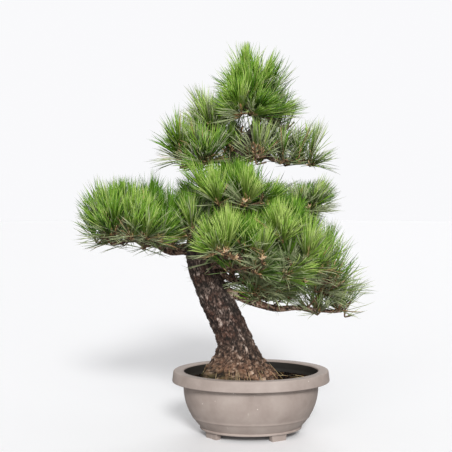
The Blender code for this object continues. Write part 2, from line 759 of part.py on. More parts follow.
def soil_profile():
    """Across the top from the middle, down beside the pot's wall and back under."""
    level = SOIL_TOP - GAP
    edge = bowl_half_width(POT_HEIGHT - RIM_BAND) - WALL - 2 * GAP
    top = [(0, level), (SOIL_FLAT, level)]
    for ring in range(1, SOIL_RINGS + 1):
        top.append((SOIL_FLAT + (edge - SOIL_FLAT) * ring / SOIL_RINGS, level - 2 * SOIL_BUMP))
    heights = [height for height in reversed(bowl_heights()) if height < level - 4 * SOIL_BUMP]
    side = [(bowl_half_width(height) - WALL - 2 * GAP, height) for height in heights[:-1]]
    floor = FOOT_HEIGHT + WALL + GAP
    foot = bowl_half_width(FOOT_HEIGHT + WALL) - WALL - 2 * GAP
    return top + side + [(foot, floor), (0, floor)]


def build_soil(collection):
    soil = turned_object("soil", soil_profile(), SOIL_STEPS, collection)
    rng = random.Random(SEED)
    for vertex in soil.data.vertices:
        half_width = Vector((vertex.co.x, vertex.co.y / POT_DEPTH_SHARE)).length
        lifted = SOIL_TOP - 4 * SOIL_BUMP < vertex.co.z < SOIL_TOP - SOIL_BUMP
        if lifted and half_width > SOIL_FLAT + MM:
            vertex.co.z += rng.uniform(-SOIL_BUMP, SOIL_BUMP)
    soil.rotation_euler.z = POT_YAW
    return soil


# Whole plant


def main():
    clear_scene()
    plant = new_collection("black_pine_bonsai")
    bark = new_material("pine bark", (0.045, 0.031, 0.024), 0.9)
    needles = new_material("pine needles", (0.10, 0.22, 0.03), 0.55)
    plastic = new_material("grey-taupe pot plastic", (0.38, 0.31, 0.27), 0.6)
    earth = new_material("dark potting soil", (0.016, 0.010, 0.007), 0.95)

    root = bpy.data.objects.new("plant_root", None)
    root.location = POT_CENTRE
    plant.objects.link(root)

    trunk = build_trunk(plant)
    boughs = build_boughs(trunk, plant)
    masses = build_foliage(plant)
    pot = build_pot(plant)
    soil = build_soil(plant)

    finishes = {bark: [trunk, *boughs], needles: masses, plastic: [pot], earth: [soil]}
    for material, objects in finishes.items():
        for obj in objects:
            obj.data.materials.clear()
            obj.data.materials.append(material)
            obj.parent = root
    for obj in (trunk, pot, *boughs):
        obj.data.shade_smooth()
        obj.data.set_sharp_from_angle(angle=math.radians(40))


main()
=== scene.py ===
import math
import random

import bmesh
import bpy
import numpy as np
from mathutils import Matrix, Vector, noise


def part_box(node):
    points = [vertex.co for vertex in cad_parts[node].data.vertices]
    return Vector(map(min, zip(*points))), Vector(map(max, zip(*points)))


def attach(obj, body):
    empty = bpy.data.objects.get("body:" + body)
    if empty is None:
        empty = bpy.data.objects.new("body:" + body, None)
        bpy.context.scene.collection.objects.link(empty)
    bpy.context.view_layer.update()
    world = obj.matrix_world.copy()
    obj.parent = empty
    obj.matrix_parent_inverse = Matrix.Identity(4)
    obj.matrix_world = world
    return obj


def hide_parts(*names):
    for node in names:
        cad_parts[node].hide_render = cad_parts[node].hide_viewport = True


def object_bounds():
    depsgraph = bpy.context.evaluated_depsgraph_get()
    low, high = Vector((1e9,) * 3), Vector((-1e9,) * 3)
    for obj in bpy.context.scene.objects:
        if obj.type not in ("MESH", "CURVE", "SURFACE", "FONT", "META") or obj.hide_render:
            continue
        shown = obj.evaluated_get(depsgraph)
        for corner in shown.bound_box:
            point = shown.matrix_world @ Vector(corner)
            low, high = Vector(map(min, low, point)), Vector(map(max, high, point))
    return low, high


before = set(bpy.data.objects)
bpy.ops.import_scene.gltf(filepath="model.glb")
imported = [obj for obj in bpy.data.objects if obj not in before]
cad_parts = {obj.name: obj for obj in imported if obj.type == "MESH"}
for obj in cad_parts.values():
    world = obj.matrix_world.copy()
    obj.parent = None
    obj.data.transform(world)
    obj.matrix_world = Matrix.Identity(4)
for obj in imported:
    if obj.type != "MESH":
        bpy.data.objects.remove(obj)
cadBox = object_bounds()
mm = 0.001
up = Vector((0, 0, 1))
potLow, potHigh = [Vector(corner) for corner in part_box("pot")]
potMiddle = Vector(((potLow.x + potHigh.x) / 2, (potLow.y + potHigh.y) / 2, 0))
boughNodes = sorted(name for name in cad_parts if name.startswith("bough_"))
foliageNodes = sorted(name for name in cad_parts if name.startswith("foliage_"))
bpy.context.scene.view_settings.view_transform = "Standard"
noise.seed_set(23)  # without it the bark would differ from run to run
print("frame loaded:", len(boughNodes), "boughs and", len(foliageNodes), "masses")


def place(point):
    return potMiddle + Vector(point) * mm


# Camera: level with the middle of the crown, 2.6 m away
view = {"from": (-58, -2600, 643), "towards": (-58, 0, 484.5), "lensMm": 90, "sensorMm": 36}

cameraData = bpy.data.cameras.new("camera")
cameraData.lens = view["lensMm"]
cameraData.sensor_width = view["sensorMm"]
camera = bpy.data.objects.new("camera", cameraData)
camera.location = place(view["from"])
camera.rotation_euler = (place(view["towards"]) - camera.location).to_track_quat("-Z", "Y").to_euler()
bpy.context.scene.collection.objects.link(camera)
bpy.context.scene.camera = camera


# Materials: helpers
def linear(hexColour):
    values = [int(hexColour[i : i + 2], 16) / 255 for i in (1, 3, 5)]
    return (*[v / 12.92 if v <= 0.04045 else ((v + 0.055) / 1.055) ** 2.4 for v in values], 1)


def addNode(tree, kind, settings=None, links=None):
    node = tree.nodes.new("ShaderNode" + kind)
    for name, value in (settings or {}).items():
        if isinstance(name, int) or name in node.inputs:
            node.inputs[name].default_value = value
        else:
            setattr(node, name, value)
    for name, source in (links or {}).items():
        tree.links.new(source, node.inputs[name])
    return node


def ramped(tree, source, stops):
    ramp = addNode(tree, "ValToRGB", links={"Fac": source})
    elements = ramp.color_ramp.elements
    while len(elements) < len(stops):
        elements.new(0.5)
    for element, (position, value) in zip(elements, stops):
        element.position = position
        element.color = linear(value) if isinstance(value, str) else (value, value, value, 1)
    return ramp.outputs["Color"]


def mixed(tree, share, *colours):
    node = addNode(tree, "MixRGB", links={"Fac": share})
    for socket, colour in zip(("Color1", "Color2"), colours):
        if isinstance(colour, str):
            node.inputs[socket].default_value = linear(colour)
        else:
            tree.links.new(colour, node.inputs[socket])
    return node.outputs["Color"]


def newMaterial(name, hexColour, roughness, ior):
    material = bpy.data.materials.new(name)
    material.use_nodes = True
    shader = material.node_tree.nodes["Principled BSDF"]
    shader.inputs["Base Color"].default_value = linear(hexColour)
    shader.inputs["Roughness"].default_value = roughness
    shader.inputs["IOR"].default_value = ior
    return material, material.node_tree, shader


def scaleFor(millimetres):
    return 1 / (millimetres * mm)  # texture scale whose features measure this


def objectCoords(tree):
    return addNode(tree, "TexCoord").outputs["Object"]


def noiseOver(tree, coords, millimetres, detail, roughness=0.5):
    settings = {"Scale": scaleFor(millimetres), "Detail": detail, "Roughness": roughness}
    return addNode(tree, "TexNoise", settings, {"Vector": coords}).outputs["Fac"]


def mottled(tree, shader, millimetres, stops):
    pattern = noiseOver(tree, objectCoords(tree), millimetres, 4.0)
    tree.links.new(ramped(tree, pattern, stops), shader.inputs["Base Color"])
    return pattern


def bumped(tree, shader, height, strength, millimetres):
    bump = addNode(tree, "Bump", {"Strength": strength, "Distance": millimetres * mm}, {"Height": height})
    tree.links.new(bump.outputs["Normal"], shader.inputs["Normal"])


# Meshes: helpers
def meshFrom(name, places, triangles):
    places = np.asarray(places, dtype=np.float32).reshape(-1, 3) * mm + np.array(potMiddle, dtype=np.float32)
    triangles = np.asarray(triangles, dtype=np.int32).reshape(-1, 3)
    mesh = bpy.data.meshes.new(name)
    mesh.vertices.add(len(places))
    mesh.vertices.foreach_set("co", places.ravel())
    mesh.loops.add(triangles.size)
    mesh.loops.foreach_set("vertex_index", triangles.ravel())
    mesh.polygons.add(len(triangles))
    mesh.polygons.foreach_set("loop_start", np.arange(0, triangles.size, 3, dtype=np.int32))
    mesh.polygons.foreach_set("loop_total", np.full(len(triangles), 3, dtype=np.int32))
    mesh.update(calc_edges=True)
    mesh.polygons.foreach_set("use_smooth", np.full(len(triangles), True))
    return mesh


def newPiece(name, shape, material, replaced=()):
    piece = bpy.data.objects.new(name, meshFrom(name, *shape))
    bpy.context.scene.collection.objects.link(piece)
    piece.data.materials.append(material)
    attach(piece, "root")
    if replaced:
        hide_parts(*replaced)
    print(f"{name}: {len(piece.data.polygons)} faces")
    return piece


def unit(vectors):
    return vectors / np.linalg.norm(vectors, axis=-1, keepdims=True)


def clamped(value, high=1):
    return min(max(value, 0), high)


def arraysFrom(bm):
    bm.verts.index_update()
    places = np.array([vertex.co for vertex in bm.verts])
    triangles = np.array([[vertex.index for vertex in face.verts] for face in bm.faces])
    bm.free()
    return places, triangles


def joined(pieces):
    places, triangles, count = [], [], 0
    for somePlaces, someTriangles in pieces:
        places.append(np.asarray(somePlaces))
        triangles.append(np.asarray(someTriangles) + count)
        count += len(places[-1])
    return np.concatenate(places), np.concatenate(triangles)


def smoothPath(points, radii, rings):
    points = [Vector(point) for point in points]
    through = [2 * points[0] - points[1], *points, 2 * points[-1] - points[-2]]
    path = []
    for span in range(len(points) - 1):
        a, b, c, d = through[span : span + 4]
        for ring in range(rings):
            t = ring / rings
            along = 0.5 * (2 * b + (c - a) * t + (2 * a - 5 * b + 4 * c - d) * t**2)
            along += 0.5 * (3 * b - a - 3 * c + d) * t**3
            path.append((along, radii[span] + (radii[span + 1] - radii[span]) * t))
    return path + [(points[-1], radii[-1])]


def lengthAlong(points):
    return np.concatenate(([0], np.cumsum(np.linalg.norm(np.diff(points, axis=0), axis=1))))


def pointsAt(points, along, wanted):
    return np.stack([np.interp(wanted, along, points[:, axis]) for axis in range(3)], axis=1)


def evenly(path, spacing):
    points, radii = [np.array(column) for column in zip(*path)]
    along = lengthAlong(points)
    wanted = np.linspace(0, along[-1], max(int(along[-1] / spacing), 2) + 1)
    return pointsAt(points, along, wanted), np.interp(wanted, along, radii)


def levelSpokes(turns):
    return np.stack((np.cos(turns), np.sin(turns), np.zeros(len(turns))), axis=1)


def spokesAround(centres, turns):
    ahead = unit(np.gradient(centres, axis=0))
    side = np.zeros_like(ahead)
    last = np.array((1.0, 0.02, 0.01)) if abs(ahead[0, 0]) < 0.8 else np.array((0.02, 1.0, 0.01))
    for ring, direction in enumerate(ahead):
        last = last - direction * (last @ direction)
        last /= np.linalg.norm(last)
        side[ring] = last
    across = np.cross(ahead, side)
    return np.cos(turns)[None, :, None] * side[:, None] + np.sin(turns)[None, :, None] * across[:, None]


def capped(shell, sides, ends):  # rings of points joined into a skin, with a fan to each end
    around, count = np.arange(sides), len(shell)
    after, offset = (around + 1) % sides, count - sides
    rings = np.arange(count // sides - 1)[:, None] * sides
    quads = np.stack((rings + around, rings + after, rings + after + sides, rings + around + sides), axis=-1)
    quads = quads.reshape(-1, 4)
    root = np.stack((np.full(sides, count), after, around), axis=1)
    tip = np.stack((np.full(sides, count + 1), around + offset, after + offset), axis=1)
    triangles = (quads[:, (0, 1, 2)], quads[:, (0, 2, 3)], root, tip)
    return np.concatenate((shell, ends)), np.concatenate(triangles)


def closedTube(centres, radii, sides):
    spokes = spokesAround(centres, np.arange(sides) / sides * math.tau)
    shell = (centres[:, None] + spokes * radii[:, None, None]).reshape(-1, 3)
    return capped(shell, sides, centres[[0, -1]])


# Limbs and masses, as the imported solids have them
trunk = {
    "stations": (
        (-20, 0, 127), (-28, 0, 192), (-41, 2, 233), (-74, 5, 300), (-106, 9, 368), (-119, 12, 425),
        (-112, 14, 480), (-58, 6, 579), (-20, -4, 658), (6, -9, 712), (12, -10, 748),
    ),
    "radii": (45, 39, 37, 38, 33, 32, 26, 20, 14, 8, 6),
    "flareExtra": 32, "flareSkew": 0.5, "flareHeight": 50, "flareDepth": 0.84,
    "lobes": 5, "lobeShare": 0.2, "lobePhase": 0.7, "ridges": 13, "ridgeShare": 0.12, "ridgePhase": 2.1,
    "leftHeight": 0.2,
}
boughs = {
    "left": (((-118, 12, 424), (-152, 9, 430), (-186, 3, 428), (-212, 0, 440)), (17, 9)),
    "lower_right": (((-88, 7, 332), (-48, 3, 330), (2, 0, 309), (56, -5, 294), (98, -8, 296)), (14, 6)),
    "lower_inner": (((-106, 9, 376), (-72, 14, 372), (-40, 18, 356), (-16, 20, 350)), (10, 5)),
    "lower_front": (((-116, 12, 434), (-98, -32, 430), (-72, -74, 420)), (12, 6)),
    "lower_right_front": (((-108, 10, 396), (-58, -28, 396), (0, -56, 386), (48, -70, 386)), (11, 6)),
    "middle_right_front": (((-88, 11, 524), (-42, -22, 498), (4, -54, 474), (38, -76, 470)), (9, 5)),
    "left_inner": (((-117, 13, 452), (-130, -18, 466), (-137, -38, 472)), (9, 5)),
    "centre_front": (((-74, 9, 552), (-64, -32, 556), (-52, -66, 546)), (10, 6)),
    "middle_right": (((-56, 6, 584), (-14, 11, 566), (28, 14, 540), (64, 16, 522)), (10, 5)),
    "upper_left": (((-36, 0, 624), (-68, 6, 636), (-104, 9, 630)), (10, 5)),
    "upper_left_inner": (((-10, -6, 678), (-40, 10, 674), (-66, 20, 676)), (7, 4)),
    "apex_right": (((3, -8, 702), (22, 0, 704), (38, 4, 712)), (6, 4)),
    "upper_right": (((-24, -3, 650), (18, 0, 654), (46, 2, 640), (70, 2, 632)), (9, 5)),
    "upper_front": (((-14, -5, 668), (-6, -26, 662), (2, -40, 654)), (6, 4)),
    "back_lower": (((-98, 8, 356), (-82, 46, 362), (-62, 82, 358)), (12, 6)),
    "back_middle": (((-113, 14, 470), (-104, 46, 484), (-92, 76, 484)), (11, 6)),
    "back_right": (((-84, 10, 530), (-34, 46, 500), (20, 76, 462), (42, 84, 452)), (10, 5)),
    "back_upper": (((-32, 0, 634), (-18, 30, 642), (-6, 52, 640)), (8, 5)),
}
massColumns = ("centre", "half", "tufts", "lean", "shade", "fullness", "old", "greyed")
masses = {
    # Half sizes; lean of the outermost tufts in degrees; shade, painted light and shade of the mass's greens,
    # 0 is usual and less is lighter; how full of this year's and of old needles; share of this year's that
    # are as grey as the old, where it is weak, which also lightens masses in shade as painted light
    "apex": ((-8, -10, 816), (78, 84, 96), 15, 46, 0.2, 0.85, 1.0, 0),
    "apex_right": ((60, 8, 766), (49, 62, 64), 6, 48, 0.3, 0.7, 1.0, 0.2),
    "upper_left": ((-148, 10, 680), (76, 84, 76), 12, 55, 0.2, 0.43, 0.8, 0.35),
    "upper_left_inner": ((-102, 26, 728), (56, 62, 68), 9, 40, -0.2, 0.42, 0.8, 0.5),
    "upper_right": ((109, 2, 679), (84, 80, 62), 10, 58, -0.5, 0.31, 0.8, 0.65),
    "upper_front": ((10, -66, 684), (58, 48, 54), 5, 50, -1.1, 0.27, 0.5, 0.6),
    "centre_front": ((-36, -96, 590), (101, 92, 70), 15, 58, -0.8, 1.0, 0.6, 0),
    "middle_right": ((134, 22, 550), (78, 78, 50), 9, 62, -0.2, 0.5, 1.0, 0.45),
    "middle_right_front": ((74, -104, 512), (60, 56, 64), 6, 45, -0.4, 0.9, 0.6, 0),
    "left": ((-268, -5, 513), (145, 122, 98), 28, 74, 0.5, 0.7, 1.0, 0.12),
    "left_inner": ((-142, -62, 520), (60, 56, 66), 7, 45, 0.2, 0.8, 1.0, 0.2),
    "lower_front": ((-33, -142, 484), (82, 76, 76), 11, 48, -1.0, 1.0, 0.6, 0),
    "lower_right_front": ((136, -82, 428), (108, 88, 86), 16, 66, -0.5, 0.95, 1.0, 0.25),
    "lower_right": ((181, 0, 337), (101, 92, 66), 9, 78, -2.2, 0.34, 0.8, 0.8),
    "lower_inner": ((28, 24, 366), (84, 76, 62), 8, 60, -1.1, 0.35, 1.5, 0.6),
    "back_lower": ((-22, 134, 404), (118, 84, 80), 11, 66, 0.0, 0.7, 1.0, 0),
    "back_middle": ((-74, 128, 542), (108, 86, 78), 11, 62, -0.2, 0.7, 1.0, 0),
    "back_right": ((96, 120, 474), (84, 76, 66), 7, 62, 0.0, 0.65, 1.0, 0),
    "back_upper": ((8, 94, 688), (86, 72, 66), 7, 56, 0.0, 0.5, 1.0, 0),
}
masses = {name: dict(zip(massColumns, row)) for name, row in masses.items()}
growth = {
    "seed": 1860, "reach": 112, "inset": 42, "leastInset": 0.3, "lift": 16, "leanSpread": 9, "shiftSpread": 7,
    "boughTaper": 0.8, "stemTaper": 0.95, "stemDrop": 12, "stemReach": 0.5, "stemKnee": 4, "stemTip": 3.2,
    "stemRings": 3, "outlinePower": 3, "turnCost": 0.8, "leastTwig": 8, "leastAhead": 0.3, "leastRise": 0.22,
    "upturn": (0.4, 0.75, 0.55), "mostSlide": 40, "needleReach": 80, "needlePower": 0.6, "leastShoot": 8,
    "twigSteps": 6, "twigAhead": 0.5, "twigBend": 0.7, "twigSag": 2, "twigRoot": 3.2, "twigShare": 0.85,
    "twigTip": 1.9, "shootRadii": ((0.5, 2.1), (1, 1.7)), "usualSize": 0.95, "sizeSpread": 0.1,
    "broomForward": -0.16, "bunchAxis": (0.1, -0.6, 0.8), "bunchSize": 0.4, "bunchShade": 3,
    "finer": (1, 1, 2), "finerTurn": (6, 14), "finerShift": (7, 14), "finerDrop": (2, 14), "finerSize": 0.86,
    "clearBelow": 60, "clearBeside": 36, "clearBehind": 25,
}
# A broom's shade is painted light and shade of its greens: lower is lighter, higher is darker
brooms = {  # those that show best from the front: foot, lean to the right in degrees, size, fullness, shade
    "apex": (
        (-12, -15, 803, 0, 1.0, 1.1, 1.0), (4, -15, 788, 6, 0.95, 0.7, 1.6),
        (-24, -45, 772, -14, 0.85, 1.0, 1.2), (14, -30, 778, 16, 0.98, 1.0, 1.5),
        (0, -75, 738, 12, 0.85, 1.0, 2.0), (-24, -80, 742, -11, 0.8, 1.0, 1.2),
        (-8, -58, 754, 0, 0.9, 1.0, 1.8),
    ),
    "apex_right": ((29, -10, 764, 24, 1.0, 0.5, 2.4), (37, -35, 731, 58, 0.8, 0.9, 1.0)),
    "upper_left_inner": ((-98, 0, 710, -17, 0.88, 1.0, 0.5), (-78, 5, 694, -6, 0.8, 0.8, 1.2)),
    "upper_left": (
        (-160, -15, 654, -6, 0.92, 0.7, 1.3), (-123, -45, 643, -8, 0.8, 0.8, 1.7),
        (-94, -55, 636, 6, 0.8, 0.9, 1.5), (-162, 10, 645, -28, 0.8, 0.6, 1.8),
    ),
    "upper_right": (
        (105, -25, 637, 7, 0.9, 0.42, 1.2), (134, -15, 637, 15, 0.85, 0.6, 1.0),
        (71, -35, 640, 0, 0.75, 0.4, 1.0),
    ),
    "centre_front": (
        (-17, -140, 543, 7, 0.85, 1.2, 0.2), (-73, -130, 549, -12, 0.75, 1.0, 1.0),
        (20, -120, 549, 18, 0.7, 0.9, 1.5), (-104, -100, 565, -27, 0.75, 0.6, 1.6),
    ),
    "middle_right": (
        (136, -15, 526, 24, 0.75, 0.8, 0.3), (105, -25, 529, 7, 0.65, 0.7, 1.3),
        (78, -20, 533, -5, 0.65, 0.6, 1.7),
    ),
    "middle_right_front": ((56, -140, 468, 7, 0.8, 1.2, 0.4),),
    "left_inner": ((-133, -90, 477, -3, 0.8, 0.9, 1.0), (-107, -70, 466, 5, 0.7, 0.8, 2.0)),
    "lower_front": (
        (-56, -165, 437, 5, 0.98, 1.2, 0.1), (-84, -155, 446, -25, 0.65, 0.8, 0.8),
        (-15, -150, 456, 12, 0.65, 0.9, 1.8),
    ),
    "lower_right_front": (
        (20, -145, 425, 3, 0.78, 1.2, 0.2), (115, -140, 416, 12, 0.95, 1.2, 0.3),
        (79, -125, 414, -2, 0.75, 0.9, 1.5), (144, -110, 399, 34, 0.8, 0.9, 1.2),
        (-24, -104, 400, 34, 0.75, 0.7, 2.6), (24, -120, 392, 66, 0.8, 0.6, 1.2),
        (70, -128, 384, 64, 0.85, 0.7, 0.8), (-46, -96, 396, 0, 0.65, 0.8, 2.6),
        (4, -112, 400, 14, 0.7, 0.8, 2.4),
    ),
    "lower_right": (
        (172, -25, 345, 60, 0.9, 0.42, -1.0), (184, -20, 326, 74, 0.9, 0.5, -1.0),
        (155, -45, 341, 32, 0.85, 0.5, -1.0),
    ),
    "lower_inner": (
        (-16, -22, 366, -24, 0.75, 0.7, 0.6), (22, -34, 352, 52, 0.85, 0.7, 0.2),
        (56, -30, 336, 72, 0.85, 0.6, 0.2), (6, -30, 384, 20, 0.75, 0.5, 1.2),
    ),
    "left": (
        (-330, -35, 487, -12, 0.95, 0.9, 1.6), (-311, -60, 477, -10, 1.08, 0.9, 1.8),
        (-276, -80, 469, 0, 1.12, 1.1, 1.3), (-239, -100, 477, 0, 0.9, 1.1, 1.0),
        (-230, -30, 459, 0, 1.32, 0.5, 2.8), (-210, -95, 462, 30, 0.8, 0.8, 2.0),
        (-188, -50, 479, 2, 0.95, 0.9, 2.6),
    ),
}
bunches = {  # feet of short twigs that end in a bunch of candles instead of needles
    "lower_front": ((-60, -162, 432), (-78, -150, 438), (-44, -160, 424), (-20, -150, 446)),
    "centre_front": ((-20, -138, 538), (-72, -128, 545)),
    "middle_right": ((130, -22, 522),),
    "lower_right_front": ((20, -146, 414), (112, -136, 372), (146, -108, 392), (116, -138, 408)),
    "left": ((-276, -84, 462), (-240, -98, 470)),
}
windows = {  # where the sky shows in or beside the crown: middle to the right and up, half sizes, share left
    "besideTip": (-16, 728, 19, 19, 0.06), "overFork": (-18, 668, 36, 20, 0.4),
    "underUpperRight": (96, 608, 72, 15, 0.05), "rightOfCentre": (28, 626, 26, 19, 0.12),
    "besideTrunk": (-48, 380, 22, 24, 0.08), "overLowerRight": (20, 327, 24, 9, 0.4),
    "overUpperBough": (22, 650, 44, 11, 0.3), "leftEnd": (-388, 490, 24, 60, 0.35),
    "lowerRightEnd": (216, 438, 26, 48, 0.15), "underLowerRight": (180, 281, 80, 10, 0.3),
    "rightEnd": (250, 350, 25, 62, 0.3), "leftOfApex": (-70, 846, 16, 30, 0.35),
    "leftOfTop": (-42, 890, 14, 17, 0.2), "rightOfTop": (28, 884, 20, 20, 0.3),
    "overUpperRight": (110, 716, 14, 18, 0.25), "upperRightEnd": (172, 690, 12, 26, 0.3),
}
golden = math.pi * (3 - math.sqrt(5))  # the turn from one shoot to the next


def boughPath(name, rings):
    points, (rootRadius, tipRadius) = boughs[name]
    last = len(points) - 1
    shares = [(index / last) ** growth["boughTaper"] for index in range(last + 1)]
    radii = [rootRadius + (tipRadius - rootRadius) * share for share in shares]
    return smoothPath(points, radii, rings)


def massLevels(mass):
    low = mass["centre"][2] - mass["half"][2] + growth["lift"]
    return low, max(mass["centre"][2] + mass["half"][2] - growth["reach"], low)


def stemPath(mass, start, heading, radius):
    centre, half = Vector(mass["centre"]), Vector(mass["half"])
    low, top = massLevels(mass)
    drop = growth["stemDrop"]
    middle = Vector((centre.x, centre.y, max((low + top) / 2 - drop, low)))
    if (middle - start).length < 2 * drop:
        middle = start + heading * 2 * drop
    ahead = middle - start
    ahead.z = 0
    if ahead.length > drop:
        ahead.normalize()
        reach = Vector((ahead.x * half.x, ahead.y * half.y, 0)).length
        end = middle + ahead * max(reach - growth["inset"], 0) * growth["stemReach"]
        end.z = (middle.z + low) / 2
    else:
        end = Vector((centre.x, centre.y, top))
    if (end - middle).length < drop:
        end = middle + (middle - start).normalized() * drop
    radii = [radius, radius, (radius + growth["stemTip"]) / 2, growth["stemTip"]]
    path = smoothPath([start, start + heading * growth["stemKnee"], middle, end], radii, growth["stemRings"])
    return path[:1] + path[growth["stemRings"] :]


def shootFeet(mass, rng):
    centre, half, count = mass["centre"], mass["half"], mass["tufts"]
    low, top = massLevels(mass)
    spread = [max(half[axis] - growth["inset"], half[axis] * growth["leastInset"]) for axis in (0, 1)]
    phase = rng.uniform(0, math.tau)
    feet = []
    for index in range(count):
        share = math.sqrt((index + 0.5) / count)
        angle = index * golden + phase
        outward = Vector((math.cos(angle), math.sin(angle), 0))
        foot = Vector((centre[0], centre[1], low + (top - low) * (1 - share**2)))
        foot += Vector((outward.x * spread[0], outward.y * spread[1], 0)) * share
        foot += Vector([rng.uniform(-growth["shiftSpread"], growth["shiftSpread"]) for _ in range(3)])
        # Shoots turn up to the light, and stand back from the outline by as far as their needles reach
        lifted = mass["lean"] * growth["upturn"][index % len(growth["upturn"])]
        tilt = math.radians(lifted * share + rng.uniform(-growth["leanSpread"], growth["leanSpread"]))
        edge = Vector((outward.x * half[0], outward.y * half[1], 0)).length
        along = Vector((foot.x - centre[0], foot.y - centre[1], 0)).length
        foot -= outward * min(max(along + growth["reach"] * math.sin(tilt) - edge, 0), growth["mostSlide"])
        feet.append((foot, (up * math.cos(tilt) + outward * math.sin(tilt)).normalized()))
    return feet


def covers(foot, broom):
    beside, behind, below = foot.x - broom[0], foot.y - broom[1], foot.z - broom[2]
    near = abs(beside) < growth["clearBeside"] and abs(below) < growth["clearBelow"]
    return near and behind < growth["clearBehind"]


def bestJoint(joints, foot, axis):
    def cost(joint):
        towards = (foot - joint[0]).normalized()
        turns = 2 - joint[1].dot(towards) - towards.dot(axis)
        return (foot - joint[0]).length * (1 + growth["turnCost"] * turns)

    return min((joint for joint in joints if (foot - joint[0]).length > growth["leastTwig"]), key=cost)


def twigPath(joint, foot, axis, length, rootRadius):
    start, ahead, _ = joint
    reach = (foot - start).length
    leave = (ahead * growth["twigAhead"] + (foot - start).normalized()) * reach * growth["twigBend"]
    arrive = axis * reach * growth["twigBend"]
    path = []  # it leaves along the limb and arrives along the shoot
    for step in range(growth["twigSteps"] + 1):
        t = step / growth["twigSteps"]
        point = start * (2 * t**3 - 3 * t**2 + 1) + leave * (t**3 - 2 * t**2 + t)
        point += foot * (3 * t**2 - 2 * t**3) + arrive * (t**3 - t**2)
        point.z = max(point.z, min(start.z, foot.z) - growth["twigSag"])
        path.append((point, rootRadius + (growth["twigTip"] - rootRadius) * t))
    return path + [(foot + axis * length * share, radius) for share, radius in growth["shootRadii"]]


twigs, stems, shoots = [], {}, []


def growShoot(name, joint, foot, axis, size, fullness, shade):
    towards = (foot - joint[0]).normalized()
    axis = (axis + towards * max(0, growth["leastAhead"] - axis.dot(towards))).normalized()
    axis = Vector((axis.x, axis.y, max(axis.z, growth["leastRise"]))).normalized()
    needles = size ** growth["needlePower"]  # a weak shoot is short, but its needles are nearly as long
    length = max(growth["reach"] * size - growth["needleReach"] * needles, growth["leastShoot"])
    rootRadius = min(growth["twigRoot"] * size, joint[2] * growth["twigShare"])
    path = twigPath(joint, foot, axis, length, rootRadius)
    twigs.append(path)
    shoots.append(
        {"mass": name, "foot": foot, "axis": axis, "size": size, "length": length, "needles": needles}
        | {"fullness": fullness, "shade": shade, "path": np.array([point for point, _ in path])}
    )
    return path


def growWhorl(name, joints, foot, axis, size, fullness, shade, rng):
    path = growShoot(name, bestJoint(joints, foot, axis), foot, axis, size, fullness, shade)
    (before, _), (middle, radius), (after, _) = path[3:6]
    joints.append((middle, (after - before).normalized(), radius))
    side = axis.orthogonal().normalized()
    for _ in range(rng.choice(growth["finer"])):
        beside = Matrix.Rotation(rng.uniform(0, math.tau), 3, axis) @ side
        finerFoot = foot + beside * rng.uniform(*growth["finerShift"])
        finerFoot -= axis * rng.uniform(*growth["finerDrop"])
        finerAxis = (axis + beside * math.tan(math.radians(rng.uniform(*growth["finerTurn"])))).normalized()
        finerSize = size * growth["finerSize"] * (1 + rng.uniform(-1, 1) * growth["sizeSpread"])
        growShoot(name, joints[-1], finerFoot, finerAxis, finerSize, fullness, shade)


trunkPath = smoothPath(trunk["stations"], trunk["radii"], 3)
for name, mass in masses.items():
    rng = random.Random(f"{growth['seed']} {name}")
    limb = boughPath(name, 2) if name in boughs else trunkPath
    (last, radius), (before, _) = limb[-1], limb[-2]
    stem = stemPath(mass, last, (last - before).normalized(), radius * growth["stemTaper"])
    stems[name] = stem
    joints = [(a, (b - a).normalized(), r) for (a, r), (b, _) in zip(stem[1:], stem[2:])]
    joints.append((stem[-1][0], (stem[-1][0] - stem[-2][0]).normalized(), stem[-1][1]))
    feet = shootFeet(mass, rng)
    for *standing, lean, size, fullness, shade in brooms.get(name, ()):
        lean = math.radians(lean)
        axis = Vector((math.sin(lean), growth["broomForward"], math.cos(lean))).normalized()
        growWhorl(name, joints, Vector(standing), axis, size, fullness, shade, rng)
    for standing in bunches.get(name, ()):
        foot, axis = Vector(standing), Vector(growth["bunchAxis"]).normalized()
        joint = bestJoint(joints, foot, axis)
        growShoot(name, joint, foot, axis, growth["bunchSize"], 0, growth["bunchShade"])
        shoots[-1]["bunch"] = True
    feet = [pair for pair in feet if not any(covers(pair[0], broom) for broom in brooms.get(name, ()))]
    for foot, axis in sorted(feet, key=lambda pair: min((pair[0] - joint[0]).length for joint in joints)):
        size = growth["usualSize"] * (1 + rng.uniform(-1, 1) * growth["sizeSpread"])
        growWhorl(name, joints, foot, axis, size, mass["fullness"], None, rng)

# Sprigs on the boughs themselves, between the trunk and the masses; their shade gives them darker greens,
# painted shade for sitting inside the crown
sprigs = {
    "spacing": 17, "from": 0.34, "size": (0.6, 0.86), "reach": (8, 30), "rise": (0.6, 1.2), "sideways": 0.75,
    "ahead": 0.3, "fullness": 0.6, "shade": (2, 4),
}
for name in boughs:
    rng = random.Random(f"{name} sprigs")
    path = boughPath(name, 8)
    centres, radii = evenly(path, sprigs["spacing"])
    for index in range(int(len(centres) * sprigs["from"]), len(centres) - 1):
        start, ahead = Vector(centres[index]), Vector(centres[index + 1] - centres[index]).normalized()
        turn = rng.uniform(0, math.tau)
        axis = Vector((math.cos(turn), math.sin(turn), 0)) * sprigs["sideways"]
        axis += up * rng.uniform(*sprigs["rise"])
        axis = (axis + ahead * sprigs["ahead"]).normalized()
        foot = start + axis * (radii[index] + rng.uniform(*sprigs["reach"]))
        size, shade = rng.uniform(*sprigs["size"]), rng.uniform(*sprigs["shade"])
        growShoot(name, (start, axis, radii[index]), foot, axis, size, sprigs["fullness"], shade)
print("grown:", len(shoots), "shoots on", len(stems), "stems")


